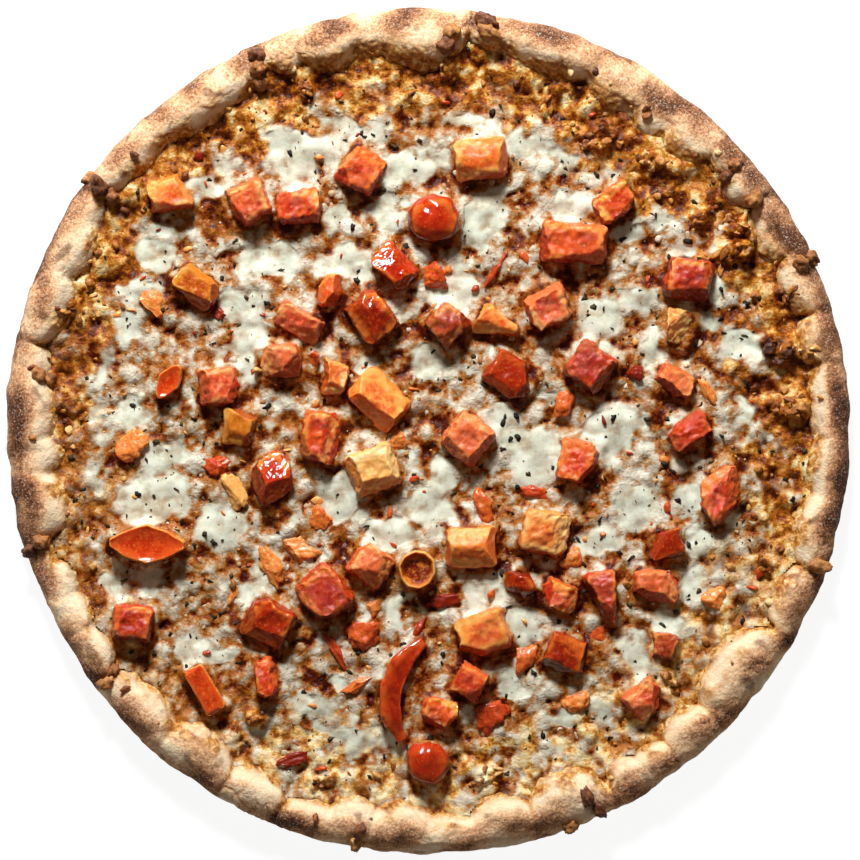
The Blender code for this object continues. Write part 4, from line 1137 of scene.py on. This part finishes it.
def make_toasted(material):
    """Toasted crumbs, crowded in the browned ring and on the rim's inner slope, sparse elsewhere."""
    draw = random.Random(SEEDS["toasted_crumbs"])
    places = clear_places(draw, 1100, sizes=(0.8, 4.8), spread=3.0, reach=0.93, gap=0.5)
    x, y, _ = places.T
    chance = np.array([draw.random() for _ in x])
    kept = (chance < 0.1 + 0.95 * toast_at(x, y)) & (melt_reach(x, y) < 0.8)
    toast = toast_at(x[kept], y[kept])
    rows = [
        (x, y, level + 0.1 * size, size, size * draw.uniform(0.5, 0.9), size * draw.uniform(0.4, 0.7),
         draw.uniform(0.0, 180.0), draw.uniform(-25.0, 25.0),
         min(1.0, 0.15 + 0.4 * toasted * draw.random() + 0.5 * draw.random()))
        for (x, y, level, size), toasted in zip(on_cheese(places[kept]), toast)
    ]
    for _ in range(SLOPE_CRUMBS):
        angle = draw.uniform(0.0, 360.0)
        foot, crest, _ = rim_lines(angle)
        radius = foot + (crest - foot) * draw.uniform(0.1, 1.0) ** 1.5
        size = draw.uniform(0.9, 3.2)
        rows.append((
            *turned(radius, 0.0, -angle), rim_height(angle, radius) + 0.12 * size,
            size * 1.3, size * 0.8, size * 0.6,
            angle + draw.uniform(-40.0, 40.0), draw.uniform(0.0, 30.0), draw.uniform(0.1, 0.95),
        ))
    return new_piece("toasted_crumbs", *scattered(ball(2), rows, chipped), material, "cheese")


def make_clumps(material):
    """Large browned clumps of cheese in the ring, each of several lumps."""
    draw = random.Random(SEEDS["browned_clumps"])
    rows = []
    for x, y, length, width, height, turn, tone in BROWNED_CLUMPS:
        for _ in range(LUMPS_A_CLUMP):
            along, across = draw.uniform(-0.42, 0.42) * length, draw.uniform(-0.4, 0.4) * width
            east, north = turned(along, across, -turn)
            east, north = x + east, y + north
            rim_level = rim_height(direction(east, north), math.hypot(east, north))
            level = max(cheese_top(east, north)[0], rim_level)
            rows.append((
                east, north, level - 0.08 * height, 0.34 * length, 0.3 * width, 0.6 * height,
                turn + draw.uniform(-50.0, 50.0), draw.uniform(-20.0, 20.0),
                min(1.0, max(0.0, tone + draw.uniform(-0.15, 0.4))),
            ))
    return new_piece("browned_clumps", *scattered(ball(3), rows, chipped), material, "cheese")


def leaf():
    """A small flake: a bent disc of two faces."""
    turns = np.arange(FLAKE_SIDES) * 2.0 * math.pi / FLAKE_SIDES
    ring = np.stack([np.cos(turns), np.sin(turns), 0.25 * np.cos(2.0 * turns)], axis=1)
    points = np.concatenate([ring, [[0.0, 0.0, 0.35]], [[0.0, 0.0, -0.25]]])
    sides = [(i, (i + 1) % FLAKE_SIDES) for i in range(FLAKE_SIDES)]
    faces = [(a, b, FLAKE_SIDES) for a, b in sides] + [(b, a, FLAKE_SIDES + 1) for a, b in sides]
    return points, np.array(faces)


def make_herbs(material):
    """Dried herb flakes all over the cheese, a few of them large."""
    draw = random.Random(SEEDS["herb_flakes"])
    places = clear_places(draw, 1200, sizes=(0.5, 3.4), spread=3.2, reach=0.95, gap=0.3)
    rows = [
        (x, y, level + 0.25, size, size * draw.uniform(0.35, 0.8), min(1.4, 0.5 * size),
         draw.uniform(0.0, 180.0), draw.uniform(-25.0, 25.0), draw.random())
        for x, y, level, size in on_cheese(places)
    ]
    return new_piece("herb_flakes", *scattered(leaf(), rows, ragged), material)


def make_bits(material):
    """The small bits of tomato, and shreds of it strewn between the large pieces."""
    draw = random.Random(SEEDS["tomato_bits"])
    large = [
        (x, y, cheese_top(x, y)[0] + 0.1 * height, length, width, height, turn, 0.0, tone)
        for x, y, length, width, height, turn, tone in TOMATO_BITS
    ]
    places = clear_places(draw, 110, sizes=(1.5, 5.5), spread=2.0, reach=0.86, gap=0.4)
    small = [
        (x, y, level + 0.1, size, size * draw.uniform(0.3, 0.7), size * 0.35,
         draw.uniform(0.0, 180.0), draw.uniform(-10.0, 10.0), draw.random())
        for x, y, level, size in on_cheese(places)
    ]
    points, faces, tones = scattered(ball(4), large, torn)
    small_points, small_faces, small_tones = scattered(ball(2), small, chipped)
    faces = np.concatenate([faces, small_faces + len(points)])
    points = np.concatenate([points, small_points])
    tones = {"tone": np.concatenate([tones["tone"], small_tones["tone"]])}
    return new_piece("tomato_bits", points, faces, tones, material, "tomato_orange")


# --- tomato ---


def remeshed(node):
    """A fine even mesh of a solid: its points in millimetres, its normals and its faces."""
    copy = linked("remeshed", node.data.copy())
    remesh = copy.modifiers.new("fine", "REMESH")
    remesh.mode = "VOXEL"
    remesh.voxel_size = TOMATO_VOXEL * MM
    smooth = copy.modifiers.new("soft", "SMOOTH")
    smooth.factor = 0.5
    smooth.iterations = TOMATO_SMOOTHING
    graph = bpy.context.evaluated_depsgraph_get()
    mesh = bpy.data.meshes.new_from_object(copy.evaluated_get(graph))
    points, normals = np.zeros((2, len(mesh.vertices) * 3))
    mesh.vertices.foreach_get("co", points)
    mesh.vertex_normals.foreach_get("vector", normals)
    mesh.calc_loop_triangles()
    faces = np.array([tri.vertices[:] for tri in mesh.loop_triangles])
    bpy.data.objects.remove(copy, do_unlink=True)
    bpy.data.meshes.remove(mesh)
    return points.reshape(-1, 3) / MM, normals.reshape(-1, 3), faces


def vertex_normals(points, faces):
    """Unit normals of a triangle mesh at its points."""
    a, b, c = (points[faces[:, corner]] for corner in range(3))
    across = np.cross(b - a, c - a)
    total = np.zeros_like(points)
    for corner in range(3):
        for axis in range(3):
            total[:, axis] += np.bincount(faces[:, corner], across[:, axis], len(points))
    return total / (np.linalg.norm(total, axis=1, keepdims=True) + 1e-9)


def ridges(points, faces, normals):
    """How sharply the surface bends outwards at each point."""
    total, count = np.zeros(len(points)), np.full(len(points), 1e-9)
    for first, second in ((0, 1), (1, 2), (2, 0)):
        a, b = faces[:, first], faces[:, second]
        along = points[b] - points[a]
        bend = ((normals[b] - normals[a]) * along).sum(axis=1) / (np.linalg.norm(along, axis=1) + 1e-9)
        for end in (a, b):
            total += np.bincount(end, bend, len(points))
            count += np.bincount(end, None, len(points))
    return total / count


def chance_cuts(draw):
    """One nearly level cut, a steeper one or more, and two that trim the sides, in the form of CUTS."""
    def cut(*limits):
        return (*(draw.uniform(low, high) for low, high in limits), draw.random())

    made = [cut((12.0, 30.0), (20.0, 230.0), (1.4, 2.8))]
    made += [cut((34.0, 60.0), (150.0, 390.0), (1.2, 3.4)) for _ in range(draw.randint(1, 3))]
    return made + [cut((66.0, 90.0), (0.0, 360.0), (0.8, 2.4)) for _ in range(2)]


def knife_cut(points, cuts):
    """Flat slanted facets on the upper part of a piece, and a tone for each of them."""
    facet = np.full(len(points), 0.5)
    for tilt, way, depth, tone in cuts:
        tilt, way = math.radians(tilt), math.radians(way)
        facing = np.array([math.sin(tilt) * math.cos(way), math.sin(tilt) * math.sin(way), math.cos(tilt)])
        along = points @ facing
        beyond = along - (along.max() - depth)
        cut = beyond > 0.0
        points = points - np.where(cut, beyond, 0.0)[:, None] * facing
        facet[cut] = tone
    return points, facet


def almond(places):
    """A bowl with two pointed ends along the longer axis of these places: 1 in the middle, 0 at the brim."""
    _, axes = np.linalg.eigh(np.cov(places.T))
    across, along = (places @ axes).T
    across, along = across / np.abs(across).max(), along / np.abs(along).max()
    taper = 1.0 - along * along
    share = across / (0.92 * taper + 0.08)
    return np.sqrt(np.clip(1.0 - share * share, 0.0, 1.0)) * np.clip(taper, 0.0, 1.0) ** 0.6


def make_tomato(number, look, material):
    """A piece with the form of its solid: leaning and cut with a knife, or round, or a hollow boat."""
    name = f"tomato_{number:02d}"
    points, normals, faces = remeshed(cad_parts[name])
    base, middle, reach, outward, offset = FOOTPRINTS[number - 1]
    inside = -(points[:, :2] @ outward.T - offset).max(axis=1)
    inner = inside / inside.max()
    x, y, z = points.T
    draw = random.Random(TOMATO_SEED + number)
    cut = look not in ROUND_LOOKS or number in CUTS
    boat, cup = look in BOAT_LOOKS, look == "cup"
    dent = HOLLOWS.get(number, draw.choice((0.0, 0.2, 0.8)) if cut else 0.0)
    if cut and not cup:
        rise = np.clip((z - base) / (z.max() - base), 0.0, 1.0)
        lean, way = draw.uniform(0.3, 1.3), draw.uniform(0.0, 2.0 * math.pi)
        x = middle[0] + (x - middle[0]) * (1.0 + TOP_SPREAD * rise) + lean * rise * math.cos(way)
        y = middle[1] + (y - middle[1]) * (1.0 + TOP_SPREAD * rise) + lean * rise * math.sin(way)
        points = np.stack([x, y, z], axis=1)

    swell = ripple(x, y, 7.0, 49 + number, z) + (0.2 + 0.25 * cut) * ripple(x, y, 3.2, 119 + number, z)
    swell = (0.4 if boat else 0.65) * swell
    bowl = eased(inner, 0.25, 0.85)
    if boat:
        bowl = eased(inner, 0.12, 0.42) if cup else almond(points[:, :2] - middle)
        brim = z.max() - 0.5 - dent * bowl
        points[:, 2] += (brim - z) * eased(normals[:, 2], 0.15, 0.5) * eased(inner, 0.0, 0.1)
    else:
        swell -= dent * eased(normals[:, 2], 0.3, 0.8) * bowl
    points = points + normals * swell[:, None]
    points, facet = knife_cut(points, CUTS.get(number) or (chance_cuts(draw) if cut else ()))
    normals = vertex_normals(points, faces)
    if cut:
        grain = (0.22 if look in GLAZED_LOOKS else 0.44) * rough(x, y, 2.4, 3, 189 + number, z)
        points = points + normals * grain[:, None]
    points[:, 2] = np.maximum(points[:, 2], base - 0.4)

    top = eased(normals[:, 2], 0.6, 0.88)
    framed, cored = (1.0, 1.0) if boat else (draw.choice((0.3, 0.7, 1.0)), draw.choice((0.4, 0.85, 1.0)))
    core = eased(inner + 0.25 * ripple(x, y, 5.0, 69 + number), 0.3, 0.62)
    piece = new_piece(f"diced_{name}", points, faces, {
        # Faces that look up, and as painted light the sides that face the lamp (+Y), take the lighter top
        # colour; the other steep sides keep the darker side colour, partly painted shade.
        "top": np.maximum(top, 0.8 * eased(normals[:, 1], 0.0, 0.6)),
        "core": bowl if cup else cored * top * core,
        "edge": eased(inner, 0.16, 0.03) if boat else framed * top * eased(inner, 0.55, 0.12),
        "facet": facet,
        # Higher on the side of the piece away from the lamp (-Y), where the finish paints the darker side
        # colour as painted shade.
        "near": 0.5 + 0.5 * (middle[1] - y) / reach,
        # Convex ridges, which take the pale edge colour: partly paler flesh at the cut edges, partly painted
        # highlight.
        "ridge": eased(ridges(points, faces, normals), 0.22, 0.5) * eased(normals[:, 2], 0.0, 0.4),
    }, material, LOOK_SLOTS[look])
    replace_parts(piece, name)


# --- stage ---


def floor_finish():
    """A white floor that stays nearly white in the pizza's shadow."""
    f = Finish("floor", Base_Color=(0.93, 0.93, 0.93), Roughness=0.9, Specular_IOR_Level=0.1)
    share = f.node("LightPath", "Is Camera Ray", {}) * FLOOR_GLOW_SHARE
    glow = f.node("Emission", 0, {"Strength": FLOOR_GLOW})
    both = f.node("MixShader", 0, {0: share, 1: Value(f, f.shader.outputs[0]), 2: glow})
    f.wire(both, f.tree.nodes["Material Output"].inputs["Surface"])
    return f.material


def make_stage():
    """A plain pale floor, one soft light and an even sky."""
    half = 0.5 * FLOOR_SIDE * MM
    corners = [(-half, -half, 0), (half, -half, 0), (half, half, 0), (-half, half, 0)]
    mesh = bpy.data.meshes.new("floor")
    mesh.from_pydata(corners, [], [(0, 1, 2, 3)])
    mesh.materials.append(floor_finish())
    floor = linked("floor", mesh)
    floor.location.z = -FLOOR_GAP * MM

    light = bpy.data.lights.new("window", "AREA")
    light.size = LIGHT_SIDE * MM
    light.energy = LIGHT_WATTS
    lamp = linked("window", light)
    way, rise = math.radians(LIGHT_AZIMUTH), math.radians(LIGHT_ELEVATION)
    towards = Vector((math.cos(way) * math.cos(rise), math.sin(way) * math.cos(rise), math.sin(rise)))
    lamp.location = towards * LIGHT_DISTANCE * MM
    lamp.rotation_euler = towards.to_track_quat("Z", "Y").to_euler()

    scene = bpy.context.scene
    scene.world = bpy.data.worlds.new("sky")
    scene.world.use_nodes = True
    sky = scene.world.node_tree.nodes["Background"]
    sky.inputs["Color"].default_value = SKY_COLOUR
    sky.inputs["Strength"].default_value = SKY_STRENGTH
    scene.view_settings.view_transform = "Standard"


def make_camera():
    """Straight above the pizza, with a long lens, framed as in the picture."""
    lens = bpy.data.cameras.new("camera")
    lens.sensor_width = SENSOR
    lens.lens = SENSOR * (CAMERA_HEIGHT - PIZZA_TOP) / (PICTURE_SIDE * MM_A_PIXEL)
    camera = linked("camera", lens)
    half = 0.5 * PICTURE_SIDE
    east, north = (half - MIDDLE_PIXEL[0]) * MM_A_PIXEL, (MIDDLE_PIXEL[1] - half) * MM_A_PIXEL
    camera.location = Vector((east, north, CAMERA_HEIGHT)) * MM
    bpy.context.scene.camera = camera


def main():
    make_camera()
    make_stage()
    crust = make_crust(crust_finish())
    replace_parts(crust, "crust")
    make_rim_crumbs(char_finish())
    make_cheese(cheese_finish())
    make_curds(curd_finish())
    toasted = toast_finish()
    make_toasted(toasted)
    make_clumps(toasted)
    make_herbs(herb_finish())
    make_bits(bit_finish())
    materials = {look: tomato_finish(f"tomato_{look}", *LOOKS[look]) for look in LOOKS}
    for number, look in enumerate(TOMATO_LOOKS, 1):
        make_tomato(number, look, materials[look])


main()
